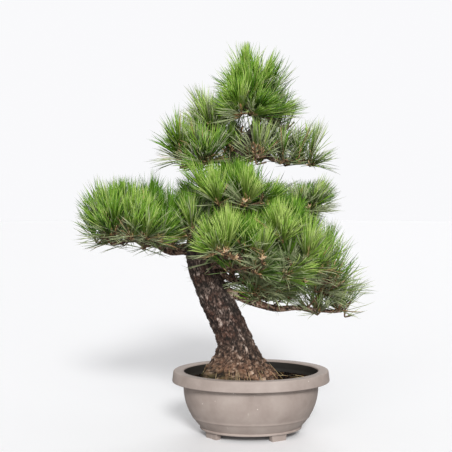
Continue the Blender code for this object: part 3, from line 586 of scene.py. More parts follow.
# Bark: thick, corky and fissured into small plates, as relief in the mesh
bark = {
    "trunkSpacing": 2.2, "trunkSides": 128, "trunkPlate": (8.5, 16), "boughSpacing": 2.6, "boughSides": 24,
    "boughPlate": (7, 10), "basePlateGrowth": 2.2, "baseHeight": 40, "baseStretch": 0.2, "footHeight": 62,
    "warps": ((0.6, 0.75), (2.4, 0.3)),  # how many times finer than the plates, how far in plates
    "toneFrom": 0.2, "toneShares": (0.16, 0.36, 0.45, 0.5),  # of the plate, flakes, flecks and worn places
    "fissureDepth": 0.085, "fissureWidth": 0.1, "widthSpread": 0.3, "widthChange": 0.45, "footNarrowed": 0.4,
    "flakeShare": 0.4, "flakesToPlate": 2.6, "footSmoothed": 0.6, "patchSize": 32, "fleckFrom": 0.68,
    "wornSize": 11, "wornStretch": 0.45, "flatHeight": 70, "flatPower": 0.6,
    "furrows": ((-46, 0.24, 1.0), (-150, 0.16, 0.8), (62, 0.25, 0.9), (128, 0.2, 0.8)),  # turn, width, share
    "furrowShade": 0.65, "furrowSway": 0.5, "swayLength": 70,
    "lumpSize": 24, "lumpRise": 13, "lumpBelow": 44, "lumpAbove": 0.12, "lumpEdge": 0.5,
    "lumpWarp": (1.4, 0.35), "creaseShade": 0.85, "creaseWidth": 0.16, "creaseBelow": 1.3,
    "mossHeight": 26, "mossSize": 14, "boughPaintedLight": 0.12, "boughWarmth": 0.55, "baseLift": 0.1,
}
trunkFoot = Vector(trunk["stations"][0])


def barkAt(point, q, radius, footward):
    # The point lies across and along the straightened limb, so the plates follow its curves; q is in plates
    wander = Vector()
    for finer, far in bark["warps"]:
        wander += noise.noise_vector(q * finer) * far
    tone = bark["toneFrom"]
    distances, cells = noise.voronoi(q + wander)
    # Fissures open and close on their way
    width = bark["fissureWidth"] + bark["widthSpread"] * (0.5 + noise.noise(q * bark["widthChange"]))
    plate = clamped((distances[1] - distances[0]) / (width * (1 - bark["footNarrowed"] * footward)))
    plate = plate * plate * (3 - 2 * plate)
    cell = (math.sin(cells[0].x * 12.99 + cells[0].y * 78.23 + cells[0].z * 37.72) * 43758.5) % 1
    flake = noise.fractal(q * bark["flakesToPlate"], 0.6, 2.1, 4) * (1 - bark["footSmoothed"] * footward)
    patch = clamped(0.6 + 1.8 * noise.noise(point / bark["patchSize"]), 1.2)  # pale flecks gather in patches
    fleck = max(cell - bark["fleckFrom"], 0) / (1 - bark["fleckFrom"]) * plate * patch
    worn = noise.noise(Vector((point.x, point.y, point.z * bark["wornStretch"])) / bark["wornSize"])
    worn = clamped(1.9 * worn - 0.2) * plate  # soft pale places where whole scales came away
    for share, part in zip(bark["toneShares"], (cell, flake, fleck, worn)):
        tone += share * part
    relief = plate * (0.4 + 0.6 * cell) - 0.6 + flake * bark["flakeShare"]
    return bark["fissureDepth"] * radius * relief, plate, clamped(tone)


def barkedLimb(centres, radii, sides, plateSize, shapeAt=None, flatShare=None):
    plateAcross, plateAlong = plateSize
    turns = np.arange(sides) / sides * math.tau
    spokes = spokesAround(centres, turns)
    if flatShare is not None:
        flatShare = flatShare[:, None, None]
        spokes = unit(spokes * (1 - flatShare) + levelSpokes(turns)[None] * flatShare)
    shell = centres[:, None] + spokes * radii[:, None, None]
    tones = np.zeros((len(centres), sides, 4))
    along = lengthAlong(centres) + centres[0].sum()
    above = np.maximum(centres[:, 2] - trunkFoot.z, 0)
    grown = 1 + bark["basePlateGrowth"] * np.exp(-above / bark["baseHeight"])
    rows = np.cumsum(np.gradient(along) / (plateAlong * grown ** bark["baseStretch"])) + along[0] / plateAlong
    for ring, turn in np.ndindex(len(centres), sides):
        spoke, point, paintedCreaseShade = Vector(spokes[ring, turn]), Vector(shell[ring, turn]), 0
        if shapeAt:
            moved, paintedCreaseShade = shapeAt(point, spoke)
            point += moved
        height = max(point.z - trunkFoot.z, 0)
        footward = math.exp(-((height / bark["footHeight"]) ** 2))
        reach = (point - Vector(centres[ring])).length
        straight = Vector((math.cos(turns[turn]) * reach, math.sin(turns[turn]) * reach, along[ring]))
        across = plateAcross * grown[ring]
        q = Vector((straight.x / across, straight.y / across, rows[ring]))
        relief, plate, tone = barkAt(straight, q, radii[ring], footward)
        point += spoke * relief
        shell[ring, turn] = point
        moss = 0.35 - spoke.x + noise.noise(point / bark["mossSize"])
        moss *= math.exp(-((height / bark["mossHeight"]) ** 2))
        tone = min(tone + bark["baseLift"] * footward, 1)
        # The first tone darkens fissures, and creases and furrows as painted shade
        tones[ring, turn] = (plate * (1 - paintedCreaseShade), tone, footward, clamped(moss))
    ends = [shell[0].mean(axis=0), shell[-1].mean(axis=0)]
    tones = np.concatenate((tones.reshape(-1, 4), tones[0, :1], tones[-1, :1]))
    return capped(shell.reshape(-1, 3), sides, ends), tones


def flareOf(height, angle):
    lobes = 1 + trunk["lobeShare"] * math.cos(trunk["lobes"] * angle + trunk["lobePhase"])
    ridges = 1 + trunk["ridgeShare"] * math.cos(trunk["ridges"] * angle + trunk["ridgePhase"])
    left = max(-math.cos(angle), 0)
    skew = 1 + trunk["flareSkew"] * left
    flareHeight = trunk["flareHeight"] * (1 + trunk["leftHeight"] * left)
    return trunk["flareExtra"] * lobes * ridges * skew * math.exp(-((height / flareHeight) ** 2))


def trunkShape(point, spoke):
    height = max(point.z - trunkFoot.z, 0)
    angle = math.atan2(spoke.y, spoke.x)
    flare = flareOf(height, angle) * Vector((math.cos(angle), trunk["flareDepth"] * math.sin(angle), 0))
    q = (point + flare) / bark["lumpSize"]
    finer, far = bark["lumpWarp"]
    nearest, second = noise.voronoi(q + noise.noise_vector(q * finer) * far)[0][:2]
    swell = min((second - nearest) / bark["lumpEdge"], 1)  # rounded swellings with dark creases between them
    near = math.exp(-height / bark["lumpBelow"])
    furrow = 0
    for turn, width, depth in bark["furrows"]:
        sway = bark["furrowSway"] * noise.noise(Vector((turn, 0, point.z / bark["swayLength"])))
        aside = (angle - math.radians(turn) + sway + math.pi) % math.tau - math.pi
        furrow = max(furrow, depth * (1 - near) * math.exp(-((aside / width) ** 2)))
    lump = (swell * (2 - swell) - 0.6) * bark["lumpRise"] * (bark["lumpAbove"] + near)
    # Painted shade: creases near the foot, and the shallow furrows higher up, are darkened in colour
    paintedCreaseShade = bark["creaseShade"] * max(1 - (second - nearest) / bark["creaseWidth"], 0)
    paintedCreaseShade *= min(bark["creaseBelow"] * near, 1)
    return flare + spoke * (lump - furrow), max(paintedCreaseShade, bark["furrowShade"] * furrow)


def newBark(name, shape, tones, replaced):
    piece = newPiece(name, shape, barkMaterial, replaced)
    attribute = piece.data.color_attributes.new("barkTone", "FLOAT_COLOR", "POINT")
    attribute.data.foreach_set("color", np.asarray(tones, dtype=np.float32).ravel())


# Old pine bark, corky and weathered: near-black fissures, brown-grey flaking plates, pale flecks on them;
# creases and furrows near-black too, as painted shade
barkMaterial, tree, shader = newMaterial("weatheredPineBark", "#5C4A3E", 0.9, 1.45)
coords = objectCoords(tree)
barkTones = addNode(tree, "Attribute", {"attribute_name": "barkTone"})
tones = addNode(tree, "SeparateColor", links={"Color": barkTones.outputs["Color"]}).outputs
grain = noiseOver(tree, coords, 6, 5.0, 0.7)
halfTone = addNode(tree, "Math", {"operation": "MULTIPLY", 1: 0.42}, {0: tones["Green"]}).outputs[0]
plateTone = addNode(tree, "Math", {"operation": "MULTIPLY_ADD", 1: 0.9}, {0: grain, 2: halfTone}).outputs[0]
greyStops = (0.42, "#221A15"), (0.58, "#493B33"), (0.73, "#7A6A61"), (0.84, "#BEAEA3")
warmStops = (0.4, "#3A261A"), (0.55, "#775540"), (0.69, "#A5846B"), (0.81, "#CBB29C")
plates = mixed(tree, tones["Blue"], ramped(tree, plateTone, greyStops), ramped(tree, plateTone, warmStops))
reddish = ramped(tree, noiseOver(tree, coords, 48, 3.0), ((0.5, 0.0), (0.7, 0.35)))
plates = mixed(tree, reddish, plates, "#6E3F2D")
mossy = mixed(tree, barkTones.outputs["Alpha"], plates, "#453F22")
# Near-black where the first tone is low: fissures, and creases and furrows as painted shade
tree.links.new(mixed(tree, tones["Red"], "#17110D", mossy), shader.inputs["Base Color"])
bumped(tree, shader, grain, 0.7, 1.6)

centres, radii = evenly(smoothPath(trunk["stations"], trunk["radii"], 14), bark["trunkSpacing"])
flatShare = np.clip(1 - (centres[:, 2] - centres[0, 2]) / bark["flatHeight"], 0, 1) ** bark["flatPower"]
shape, tones = barkedLimb(centres, radii, bark["trunkSides"], bark["trunkPlate"], trunkShape, flatShare)
newBark("trunkBark", shape, tones, ["trunk"])

limbs, limbTones = [], []
for name in boughs:
    centres, radii = evenly(boughPath(name, 8) + stems[name][2:], bark["boughSpacing"])
    shape, tones = barkedLimb(centres, radii, bark["boughSides"], bark["boughPlate"])
    # Painted light: the boughs' bark is made lighter, as they lie in shade under the crown
    tones[:, 1] = np.minimum(tones[:, 1] + bark["boughPaintedLight"], 1)
    tones[:, 2] = bark["boughWarmth"]
    limbs.append(shape)
    limbTones.append(tones)
newBark("boughBark", joined(limbs), np.concatenate(limbTones), boughNodes)

# Young pine twigs, scaly and brown: rough with the stubs of dropped needles, paler where the scales lift
twigMaterial, tree, shader = newMaterial("scalyPineTwig", "#684F39", 0.8, 1.45)
scales = mottled(tree, shader, 4, ((0.3, "#3A291C"), (0.55, "#684F39"), (0.75, "#98795A")))
bumped(tree, shader, scales, 0.5, 0.8)

tubes = [closedTube(*[np.array(column) for column in zip(*path)], 6) for path in twigs]
newPiece("twigs", joined(tubes), twigMaterial, foliageNodes)

# Winter buds and fresh candles at the shoots' tips, resinous and papery: tan with a pale point
budMaterial, tree, shader = newMaterial("paperyPineBud", "#C9A27A", 0.6, 1.45)
mottled(tree, shader, 3, ((0.35, "#A9805A"), (0.5, "#CDAE88"), (0.68, "#EAD9BE")))

# Needles: pairs from papery sheaths. This year's stand up like a broom, last year's lean out below them
needle = {
    "lengthSpread": 0.2, "pairSpread": 0.05, "curl": 0.085, "leanSpread": 8, "boxSlack": 7, "mostHang": -0.25,
    "sheathLength": 13, "sheathRadius": 1.3, "fromAxis": 1.6,
    "dryShare": 0.03, "dullShare": 0.28, "shadeSpread": 1.15, "shootSpread": 0.5, "usualShade": 2.4,
    "behindShade": 0.4, "litAbove": 1.2, "litOutside": 0.6, "sideways": 0.8, "drop": 0.12,
    "middle": 0.68, "middleBend": 0.35, "slackSpread": 0.08, "oldSlack": 0.12, "freeSlack": 9.0,
    "frontSlack": 0.9, "backSlack": 1.04,
}
years = {  # pairs on a shoot of full size, length, where on it they start and end, leans there in degrees
    "young": (56, 84, 0.15, 1.0, 29, 3),
    "old": (12, 84, -0.7, 0.25, 88, 42),
}
# Painted light and shade: this year's greens run from light, for the lit outside of the crown, to dark, for
# its shaded inside
shades = {  # this year's from the lit outside of the crown to its inside, then older ones: colour, radius
    "needlesFresh": ("#B6CE6E", 0.76), "needlesBright": ("#8DB342", 0.78), "needlesGreen": ("#6C992A", 0.78),
    "needlesDeep": ("#4F7B18", 0.78), "needlesShade": ("#38600E", 0.78),
    "needlesOld": ("#AEB88A", 0.74), "needlesDull": ("#6E8250", 0.74), "needlesDry": ("#BE9F70", 0.7),
}
oldKind, dullKind, dryKind = [list(shades).index("needles" + kind) for kind in ("Old", "Dull", "Dry")]
grown = {name: [] for name in shades}
sheaths = []
crownLow = (np.array(cadBox[0]) - np.array(potMiddle)) / mm - needle["boxSlack"]
crownHigh = (np.array(cadBox[1]) - np.array(potMiddle)) / mm + needle["boxSlack"]


def prisms(roots, mids, tips, radius):
    count = len(roots)
    ahead = unit(tips - roots)
    helper = np.where(np.abs(ahead[:, 2:]) < 0.9, np.array([[0.0, 0, 1]]), np.array([[1.0, 0, 0]]))
    side = unit(np.cross(ahead, helper))
    across = np.cross(ahead, side)
    ring = [side * math.cos(turn) + across * math.sin(turn) for turn in (0, math.tau / 3, 2 * math.tau / 3)]
    corners = [roots + r * radius for r in ring] + [mids + r * radius for r in ring] + [tips]
    places = np.stack(corners, axis=1).reshape(-1, 3)
    one = [(0, 2, 1)]
    for k in range(3):
        n = (k + 1) % 3
        one += [(k, n, 3 + n), (k, 3 + n, 3 + k), (3 + k, 3 + n, 6)]
    return places, (np.array(one)[None] + 7 * np.arange(count)[:, None, None]).reshape(-1, 3)


def seenThroughWindow(roots, tips, draw):
    hidden = np.zeros(len(roots), dtype=bool)
    eye = np.array(view["from"])
    for x, z, halfX, halfZ, left in windows.values():
        spared = draw.uniform(0, 1, len(roots)) < left
        for part in (0.25, 0.5, 0.75, 1.0):
            reached = roots + (tips - roots) * part
            ray = (reached - eye) * (-eye[1] / (reached[:, 1:2] - eye[1])) + eye
            hidden |= (((ray[:, 0] - x) / halfX) ** 2 + ((ray[:, 2] - z) / halfZ) ** 2 < 1) & ~spared
    return hidden


def insideShare(roots, tips, mass, slack):
    share = np.zeros(len(roots))
    for part in (0.7, 0.78, 0.86, 0.93, 1.0):
        reached = roots + (tips - roots) * part
        offset = np.abs((reached - np.array(mass["centre"])) / np.array(mass["half"])) / slack[:, None]
        within = (offset ** growth["outlinePower"]).sum(axis=1) <= 1
        within &= ((reached > crownLow) & (reached < crownHigh)).all(axis=1)
        share = np.where(within, part, share)
    return share


def kindsOf(shoot, year, pairs, draw):
    mass = masses[shoot["mass"]]
    offset = (np.array(shoot["foot"]) - np.array(mass["centre"])) / np.array(mass["half"])
    shade = shoot["shade"]
    # Painted light and shade: a shoot behind the front brooms, low in its mass or near its middle gets darker
    # greens, a high and outer one lighter; the mass's shade shifts them all
    if shade is None:
        shade = needle["usualShade"] + needle["behindShade"] * (shoot["mass"] in brooms) + mass["shade"]
        shade += draw.normal(0, needle["shootSpread"])
        shade -= needle["litAbove"] * (offset[2] + 0.5) + needle["litOutside"] * math.hypot(*offset[:2])
    kind = np.clip(np.round(shade + draw.normal(0, needle["shadeSpread"], pairs)), 0, oldKind - 1).astype(int)
    grey = draw.uniform(0, 1, pairs) < (mass["greyed"] if year == "young" else 1.0)
    greys = np.where(draw.uniform(0, 1, pairs) < needle["dullShare"], dullKind, oldKind)
    kind = np.where(grey, greys, kind)
    return np.where(grey & (draw.uniform(0, 1, pairs) < needle["dryShare"]), dryKind, kind)


def slackOf(shoot, year, pairs, draw):
    slack = needle["frontSlack" if shoot["mass"] in brooms else "backSlack"]
    slack += np.abs(draw.normal(0, needle["slackSpread"], pairs))
    slack += needle["oldSlack"] * (year == "old")
    return slack if shoot["shade"] is None else np.full(pairs, needle["freeSlack"])


def growPairs(shoot, year, draw):
    count, fullLength, first, last, lowLean, highLean = years[year]
    mass, axis = masses[shoot["mass"]], shoot["axis"]
    side = axis.orthogonal().normalized()
    axes = np.array((side, axis.cross(side), axis))
    pairs = round(count * shoot["size"] * (shoot["fullness"] if year == "young" else mass["old"]))
    share = draw.uniform(0, 1, pairs)
    lean = np.radians(lowLean + (highLean - lowLean) * share + draw.normal(0, needle["leanSpread"], pairs))
    around = levelSpokes(draw.uniform(0, math.tau, pairs))
    outward = (around * np.sin(lean)[:, None] + np.array((0, 0, 1)) * np.cos(lean)[:, None]) @ axes
    outward[:, 2] = np.maximum(outward[:, 2], needle["mostHang"])
    outward = unit(outward)
    reached = lengthAlong(shoot["path"])
    wanted = reached[-1] + (first + (last - first) * share - 1) * shoot["length"]
    roots = pointsAt(shoot["path"], reached, wanted) + around @ axes * needle["fromAxis"]
    kind = kindsOf(shoot, year, pairs, draw)
    for twin in (-1, 1):
        skew = unit(np.cross(outward, draw.normal(0, 1, (pairs, 3))))
        aim = outward + skew * needle["pairSpread"] * twin
        length = fullLength * shoot["needles"] * (1 + draw.uniform(-1, 1, pairs) * needle["lengthSpread"])
        ends = roots + aim * length[:, None]
        inside = insideShare(roots, ends, mass, slackOf(shoot, year, pairs, draw))
        kept = (inside > 0) & ~seenThroughWindow(roots, ends, draw)
        aim, length, feet = aim[kept], (length * inside)[kept], roots[kept]
        bend = np.cross(aim, draw.normal(0, 1, aim.shape)) * needle["sideways"]
        bend[:, 2] -= needle["drop"]
        bend *= (needle["curl"] * length)[:, None]
        reach = aim * length[:, None]
        tips, mids = feet + reach + bend, feet + reach * needle["middle"] + bend * needle["middleBend"]
        for index, name in enumerate(shades):
            chosen = kind[kept] == index
            if chosen.any():
                grown[name].append((feet[chosen], mids[chosen], tips[chosen]))
    roots, outward = roots[kept], outward[kept]
    ends = roots + outward * needle["sheathLength"]
    sheaths.append((roots, (roots + ends) / 2, ends))
    shoot["clothed"] = shoot.get("clothed", 0) + len(roots) * (year == "young")


draw = np.random.default_rng(growth["seed"])
for shoot in shoots:
    for year in years:
        growPairs(shoot, year, draw)

for name, (hexColour, radius) in shades.items():
    # Living pine needle with a waxy skin: a soft gloss along it, and one plain green for each piece
    material, tree, shader = newMaterial(name + "Waxy", hexColour, 0.36, 1.45)
    roots, mids, tips = [np.concatenate(column) for column in zip(*grown[name])]
    newPiece(name + "1", prisms(roots, mids, tips, radius), material)

budding = {
    "leastPairs": 8, "usual": 12, "inBunch": 5, "length": (9, 15), "spread": 0.55,
    "outline": ((-0.1, 1.5), (0.15, 2.3), (0.5, 2.0), (0.8, 1.2), (1, 0.2)),  # share of the length, radius
}
buds = []
rng = random.Random(growth["seed"])
for shoot in shoots:
    tip = shoot["foot"] + shoot["axis"] * shoot["length"]
    if shoot["clothed"] > budding["leastPairs"]:
        buds.append((tip, shoot["axis"], budding["usual"] * shoot["size"], shoot["size"]))
    for _ in range(budding["inBunch"] if "bunch" in shoot else 0):
        aside = Vector([rng.gauss(0, budding["spread"]) for _ in range(3)])
        buds.append((tip, (shoot["axis"] + aside).normalized(), rng.uniform(*budding["length"]), 1.0))
shares, radii = np.array(budding["outline"]).T
tubes = []
for tip, axis, length, size in buds:
    centres = np.array([tip + axis * length * share for share in shares])
    tubes.append(closedTube(centres, radii * size, 6))
newPiece("buds", joined(tubes), budMaterial)

# Papery sheath at the foot of each pair, as on all two-needled pines: dull tan-brown
sheathMaterial, tree, shader = newMaterial("paperySheath", "#C39F77", 0.8, 1.4)
mottled(tree, shader, 6, ((0.35, "#B58A5E"), (0.65, "#D8B98F")))
roots, mids, tips = [np.concatenate(column) for column in zip(*sheaths)]
shape = prisms(roots[::2], mids[::2], tips[::2], needle["sheathRadius"])
newPiece("needleSheaths", shape, sheathMaterial)


# Pot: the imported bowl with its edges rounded, moulded in one piece
pot = {
    "height": 150, "rim": 180, "depthShare": 0.8, "turnDegrees": 3, "steps": 144, "flange": 24, "band": 25,
    "bandFlare": 3, "bowl": 157, "base": 112, "curve": 2.6, "wall": 4, "levels": 26, "levelPower": 1.2,
    "foot": 15, "belt": 43,
    "beltOutline": ((0, 3), (0.8, 1.4), (1.1, 0), (0.8, -1.2), (0, -2.6)),  # raised, up
    "footSize": (40, 16, 17), "footInset": 9, "footAngles": (-57, -150, 33, 123), "footRound": 1.4,
    "footTaper": (0.92, 0.88), "middle": 20, "edgeAngle": 38,
    "drainRadius": 11, "drainOffset": 48, "drillDepth": 14,
}


def bowlHalfWidth(height):
    share = (height - pot["foot"]) / (pot["height"] - pot["band"] - pot["foot"])
    return pot["base"] + (pot["bowl"] - pot["base"]) * (1 - (1 - share) ** pot["curve"])


def rounded(corners):
    line = []
    for index, (x, z, radius) in enumerate(corners):
        here = Vector((x, z))
        if radius == 0:
            line.append(here)
            continue
        before, after = Vector(corners[index - 1][:2]) - here, Vector(corners[index + 1][:2]) - here
        start, end = here + before.normalized() * radius, here + after.normalized() * radius
        for t in (0, 0.25, 0.5, 0.75, 1):
            line.append(start * (1 - t) ** 2 + here * 2 * t * (1 - t) + end * t**2)
    return line


def turned(line):
    turns = np.arange(pot["steps"]) / pot["steps"] * math.tau
    line = np.array([tuple(point) for point in line])
    x, z = line.T[:, :, None]
    oval = np.broadcast_arrays(x * np.cos(turns), x * np.sin(turns) * pot["depthShare"], z)
    ends = [(0, 0, line[0, 1]), (0, 0, line[-1, 1])]
    return capped(np.stack(oval, axis=-1).reshape(-1, 3), pot["steps"], ends)


def potLine():
    # Corners of the half section, from inside over the rim to below: to the right, up, rounding
    middle, base, foot = pot["middle"], pot["base"], pot["foot"]
    inner, lipTop, outer = pot["rim"] - pot["flange"], pot["height"], pot["rim"]
    bandFoot, insideFoot = pot["height"] - pot["band"], foot + pot["wall"]
    shares = [(level / pot["levels"]) ** pot["levelPower"] for level in range(pot["levels"] + 1)]
    levels = [foot + (bandFoot - foot) * share for share in shares]
    inside = [(middle, insideFoot, 0)]
    inside += [(bowlHalfWidth(z) - pot["wall"], max(z, insideFoot), 0) for z in levels[1:]]
    rim = [(inner, bandFoot + 6, 2), (inner, lipTop - 3.4, 0), (inner, lipTop, 3), (outer, lipTop, 3.4)]
    rim += [(outer + pot["bandFlare"], bandFoot, 2.4), (pot["bowl"] + 1, bandFoot, 3)]
    clear = [z for z in levels[:-1] if abs(z - pot["belt"]) > 3.4 and z > foot + 5]
    outside = [(bowlHalfWidth(z), z, 0) for z in reversed(clear)]
    belt = [(raised, pot["belt"] + z) for raised, z in pot["beltOutline"]]
    outside += [(bowlHalfWidth(z) + raised, z, 0) for raised, z in belt]
    outside.sort(key=lambda corner: -corner[1])
    below = [(bowlHalfWidth(foot + 5), foot + 5, 0.5), (base + 6.8, foot + 4, 0.8)]
    line = rounded(inside + rim + outside + below + [(base + 6.2, foot, 1), (middle, foot, 0)])
    return line, next(index for index, point in enumerate(line) if point[1] > lipTop - 3.2)


def potFoot(angle):
    bm = bmesh.new()
    bmesh.ops.create_cube(bm, size=1)
    bmesh.ops.scale(bm, vec=Vector(pot["footSize"]), verts=bm.verts)
    for vertex in bm.verts:
        if vertex.co.z < 0:
            vertex.co.x *= pot["footTaper"][0]
            vertex.co.y *= pot["footTaper"][1]
    upright = [edge for edge in bm.edges if edge.verts[0].co.z != edge.verts[1].co.z]
    bmesh.ops.bevel(bm, geom=upright, offset=pot["footRound"], segments=3, affect="EDGES", profile=0.5)
    bmesh.ops.triangulate(bm, faces=bm.faces)
    inset = pot["base"] - pot["footInset"]
    x, y = inset * math.cos(angle), inset * pot["depthShare"] * math.sin(angle)
    middle = Vector((x, y, pot["footSize"][2] / 2))
    edge = math.atan2(pot["depthShare"] * math.cos(angle), -math.sin(angle))
    bmesh.ops.transform(bm, matrix=Matrix.Translation(middle) @ Matrix.Rotation(edge, 4, "Z"), verts=bm.verts)
    return arraysFrom(bm)


# Polypropylene, injection moulded and dulled outdoors: matt taupe, faintly mottled, scuffs and specks;
# near-black inside, partly stains and partly painted shade
potMaterial, tree, shader = newMaterial("weatheredPolypropylene", "#A99C92", 0.62, 1.49)
coords = objectCoords(tree)
mottle = noiseOver(tree, coords, 70, 4.0, 0.6)
potColour = ramped(tree, mottle, ((0.3, "#95877F"), (0.5, "#A4968E"), (0.72, "#B1A49C")))
specks = addNode(tree, "TexVoronoi", {"Scale": scaleFor(22), "Randomness": 1.0}, {"Vector": coords})
speckShare = ramped(tree, specks.outputs["Distance"], ((0.035, 0.8), (0.07, 0.0)))
stretch = {"Scale": (1.0, 1.0, 0.22), "Rotation": (0.3, 0.5, 0.0)}
stretched = addNode(tree, "Mapping", stretch, {"Vector": coords}).outputs[0]
scratchShare = ramped(tree, noiseOver(tree, stretched, 9, 2.0, 0.4), ((0.72, 0.0), (0.8, 0.55)))
scuffed = mixed(tree, scratchShare, mixed(tree, speckShare, potColour, "#E4DBD2"), "#D2C8BF")
# Inside the pot above the soil: near-black, partly stains and partly painted shade of the deep inside
stainedAndShaded = ramped(tree, mottle, ((0.3, "#1D1A16"), (0.7, "#2F2B26")))
soiledAndShaded = addNode(tree, "Attribute", {"attribute_name": "soiledAndShadedShare"}).outputs["Fac"]
tree.links.new(mixed(tree, soiledAndShaded, scuffed, stainedAndShaded), shader.inputs["Base Color"])
roughness = addNode(tree, "MapRange", {"To Min": 0.5, "To Max": 0.75}, {"Value": mottle})
tree.links.new(roughness.outputs["Result"], shader.inputs["Roughness"])
bumped(tree, shader, noiseOver(tree, coords, 1.6, 2.0), 0.25, 0.3)

turn = math.radians(pot["turnDegrees"])
potTurn = np.array(((math.cos(turn), -math.sin(turn), 0), (math.sin(turn), math.cos(turn), 0), (0, 0, 1)))


def withPot(places, triangles):
    return places @ potTurn.T, triangles


line, innerPoints = potLine()
shape = joined([turned(line)] + [potFoot(math.radians(angle)) for angle in pot["footAngles"]])
potPiece = newPiece("mouldedPot", withPot(*shape), potMaterial, ["pot"])
# The inside of the pot, where its stains and painted shade go
soiledAndShadedShare = (np.arange(len(shape[0])) < innerPoints * pot["steps"]).astype(np.float32)
potPiece.data.attributes.new("soiledAndShadedShare", "FLOAT", "POINT").data.foreach_set("value", soiledAndShadedShare)
for side in (-1, 1):
    drillAt = place(potTurn @ (side * pot["drainOffset"], 0, pot["foot"] + pot["wall"] / 2))
    radius, depth = pot["drainRadius"] * mm, pot["drillDepth"] * mm
    bpy.ops.mesh.primitive_cylinder_add(vertices=32, radius=radius, depth=depth, location=drillAt)
    drill = bpy.context.object
    drained = potPiece.modifiers.new("drainHole", "BOOLEAN")
    drained.object = drill
    drained.operation = "DIFFERENCE"
    bpy.context.view_layer.objects.active = potPiece
    bpy.ops.object.modifier_apply(modifier=drained.name)
    bpy.data.objects.remove(drill)
potPiece.data.set_sharp_from_angle(angle=math.radians(pot["edgeAngle"]))
print("pot drained:", len(potPiece.data.polygons), "faces")

# Soil: fired clay and bark grains over the packed soil
soil = {
    "top": 127, "level": 118, "edge": 151, "edgeDrop": 4.5, "grains": 3200, "grainSize": (1.8, 3.6),
    "seed": 7, "aroundTrunk": 14, "lumps": (0.65, 1.2), "flattened": (1.2, 1, 0.7), "sunk": 1,
    "above": (-0.5, 1.6),
}

# Potting soil of bark compost and fired clay, moist: nearly black, partly its own moist colour and partly
# painted shade of the pot's inside, with a dull gloss where it is wet
soilMaterial, tree, shader = newMaterial("moistAndShadedPottingSoil", "#130D09", 0.9, 1.2)
crumbs = mottled(tree, shader, 5, ((0.35, "#090503"), (0.55, "#150D08"), (0.75, "#261910")))
bumped(tree, shader, crumbs, 0.8, 2)
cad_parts["soil"].material_slots[0].material = soilMaterial

# The grains are near-black too: partly their own moist colour and partly painted shade of the pot's inside
grainShades = {  # darker and lighter colour of each kind of grain, share of all
    "soilGrainsDark": ("#070403", "#120B07", 0.55), "soilGrainsBrown": ("#120A06", "#241409", 0.33),
    "soilGrainsTan": ("#2A1A0F", "#4F3520", 0.12),
}
bm = bmesh.new()
bmesh.ops.create_icosphere(bm, subdivisions=1, radius=1)
ball, ballFaces = arraysFrom(bm)
draw = np.random.default_rng(soil["seed"])
grains = {name: [] for name in grainShades}
shares = [share for _, _, share in grainShades.values()]
while sum(len(some) for some in grains.values()) < soil["grains"]:
    share, angle = math.sqrt(draw.uniform()), draw.uniform(0, math.tau)
    x, y = soil["edge"] * share * math.cos(angle), soil["edge"] * share * pot["depthShare"] * math.sin(angle)
    if Vector((x - trunkFoot.x, y, 0)).length < trunk["radii"][0] + soil["aroundTrunk"]:
        continue
    level = soil["top"] - (soil["sunk"] if soil["edge"] * share < soil["level"] else soil["edgeDrop"])
    size = draw.uniform(*soil["grainSize"])
    spun = np.array(Matrix.Rotation(draw.uniform(0, math.tau), 3, Vector(draw.normal(0, 1, 3)).normalized()))
    lump = ball * draw.uniform(*soil["lumps"], (len(ball), 1)) * np.array(soil["flattened"]) * size @ spun.T
    name = list(grainShades)[draw.choice(3, p=shares)]
    grains[name].append((lump + np.array((x, y, level + draw.uniform(*soil["above"]))), ballFaces))
for name, (moist, dusty, _) in grainShades.items():
    # Sieved grain, baked or composted: dull and dusty, darker where moist
    material, tree, shader = newMaterial(name + "Sieved", dusty, 0.95, 1.2)
    mottled(tree, shader, 14, ((0.35, moist), (0.65, dusty)))
    grainMesh = newPiece(name, withPot(*joined(grains[name])), material).data
    grainMesh.polygons.foreach_set("use_smooth", np.full(len(grainMesh.polygons), False))

# Fallen needles on the soil and against the root flare
fallen = {
    "onSoil": 36, "halfLength": (18, 34), "from": 0.45, "width": 0.5, "inward": 0.86, "above": (1, 3),
    "tilt": (-1, 2),
    "leaning": 30, "heights": (14, 46), "clear": 2, "reach": (4, 20), "mostReach": 118, "trunkLean": 0.17,
    "radius": 0.6, "middle": 0.55, "bend": 0.8,
}
roots, tips = [], []
for _ in range(fallen["onSoil"]):
    share = fallen["from"] + fallen["width"] * draw.uniform()
    angle, turn = draw.uniform(0, math.tau, 2)
    out = np.array((math.cos(angle), pot["depthShare"] * math.sin(angle)))
    middle = out * soil["edge"] * share * fallen["inward"]
    reach = draw.uniform(*fallen["halfLength"]) * np.array((math.cos(turn), math.sin(turn)))
    level = soil["top"] + draw.uniform(*fallen["above"])
    roots.append((*(middle - reach), level))
    tips.append((*(middle + reach), level + draw.uniform(*fallen["tilt"])))
for _ in range(fallen["leaning"]):
    angle, height = draw.uniform(0, math.tau), draw.uniform(*fallen["heights"])
    out = np.array((math.cos(angle), trunk["flareDepth"] * math.sin(angle)))
    lean = trunk["radii"][0] + flareOf(height, angle) + fallen["clear"]
    reach = trunk["radii"][0] + flareOf(0, angle) + draw.uniform(*fallen["reach"])
    foot = out * min(reach, fallen["mostReach"]) + np.array((trunkFoot.x, 0))
    head = out * lean + np.array((trunkFoot.x - height * fallen["trunkLean"], 0))
    roots.append((*foot, soil["top"] + 1))
    tips.append((*head, soil["top"] + height))
roots, tips = np.array(roots), np.array(tips)
mids = roots * (1 - fallen["middle"]) + tips * fallen["middle"] + np.array((0, 0, fallen["bend"]))
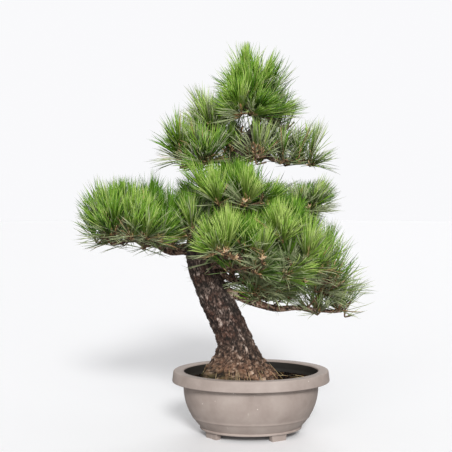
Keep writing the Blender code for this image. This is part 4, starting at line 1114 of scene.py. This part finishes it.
# Fallen pine needle, dry and bleached: straw with no gloss
strawMaterial, tree, shader = newMaterial("dryPineStraw", "#D3BC8E", 0.85, 1.4)
mottled(tree, shader, 20, ((0.35, "#B49A6C"), (0.65, "#D9C498")))
shape = withPot(*prisms(roots, mids, tips, fallen["radius"]))
newPiece("fallenNeedles", shape, strawMaterial)


# Floor, sky and lights
studio = {
    "floor": "#FCFCFD", "floorReach": 9000, "sky": "#FBFBFD", "skySeen": 0.985, "skyLight": 0.34,
    "floorBounce": "#A6A6A6",
    "suns": {  # from where, strength, angle: a key light, a much broader fill and a weak light from behind
        "keySun": ((260, -2500, 1600), 2.25, 12), "fillSun": ((-150, -2400, 1250), 1.3, 60),
        "backSun": ((500, 2200, 2000), 0.9, 50),
    },
    "sunsTowards": (0, 0, 300),
}
bpy.ops.mesh.primitive_circle_add(vertices=96, radius=studio["floorReach"] * mm, fill_type="NGON")
floor = bpy.context.object
floor.name = "floor"
floorMaterial, tree, shader = newMaterial("paleStudioFloor", studio["floor"], 0.8, 1.45)
rays = addNode(tree, "LightPath")
floorColour = mixed(tree, rays.outputs["Is Camera Ray"], studio["floorBounce"], studio["floor"])
tree.links.new(floorColour, shader.inputs["Base Color"])
floor.data.materials.append(floorMaterial)

world = bpy.data.worlds.new("studio")
world.use_nodes = True
bpy.context.scene.world = world
tree = world.node_tree
tree.nodes.clear()
seen, light = [
    addNode(tree, "Background", {"Color": linear(studio["sky"]), "Strength": studio[strength]}).outputs[0]
    for strength in ("skySeen", "skyLight")
]
rays = addNode(tree, "LightPath")
sky = addNode(tree, "MixShader", links={0: rays.outputs["Is Camera Ray"], 1: light, 2: seen})
addNode(tree, "OutputWorld", links={"Surface": sky.outputs[0]})

for name, (source, strength, angle) in studio["suns"].items():
    sunData = bpy.data.lights.new(name, "SUN")
    sunData.energy = strength
    sunData.angle = math.radians(angle)
    sun = bpy.data.objects.new(name, sunData)
    sun.location = place(source)
    sun.rotation_euler = (place(studio["sunsTowards"]) - sun.location).to_track_quat("-Z", "Y").to_euler()
    bpy.context.scene.collection.objects.link(sun)
print("studio ready")
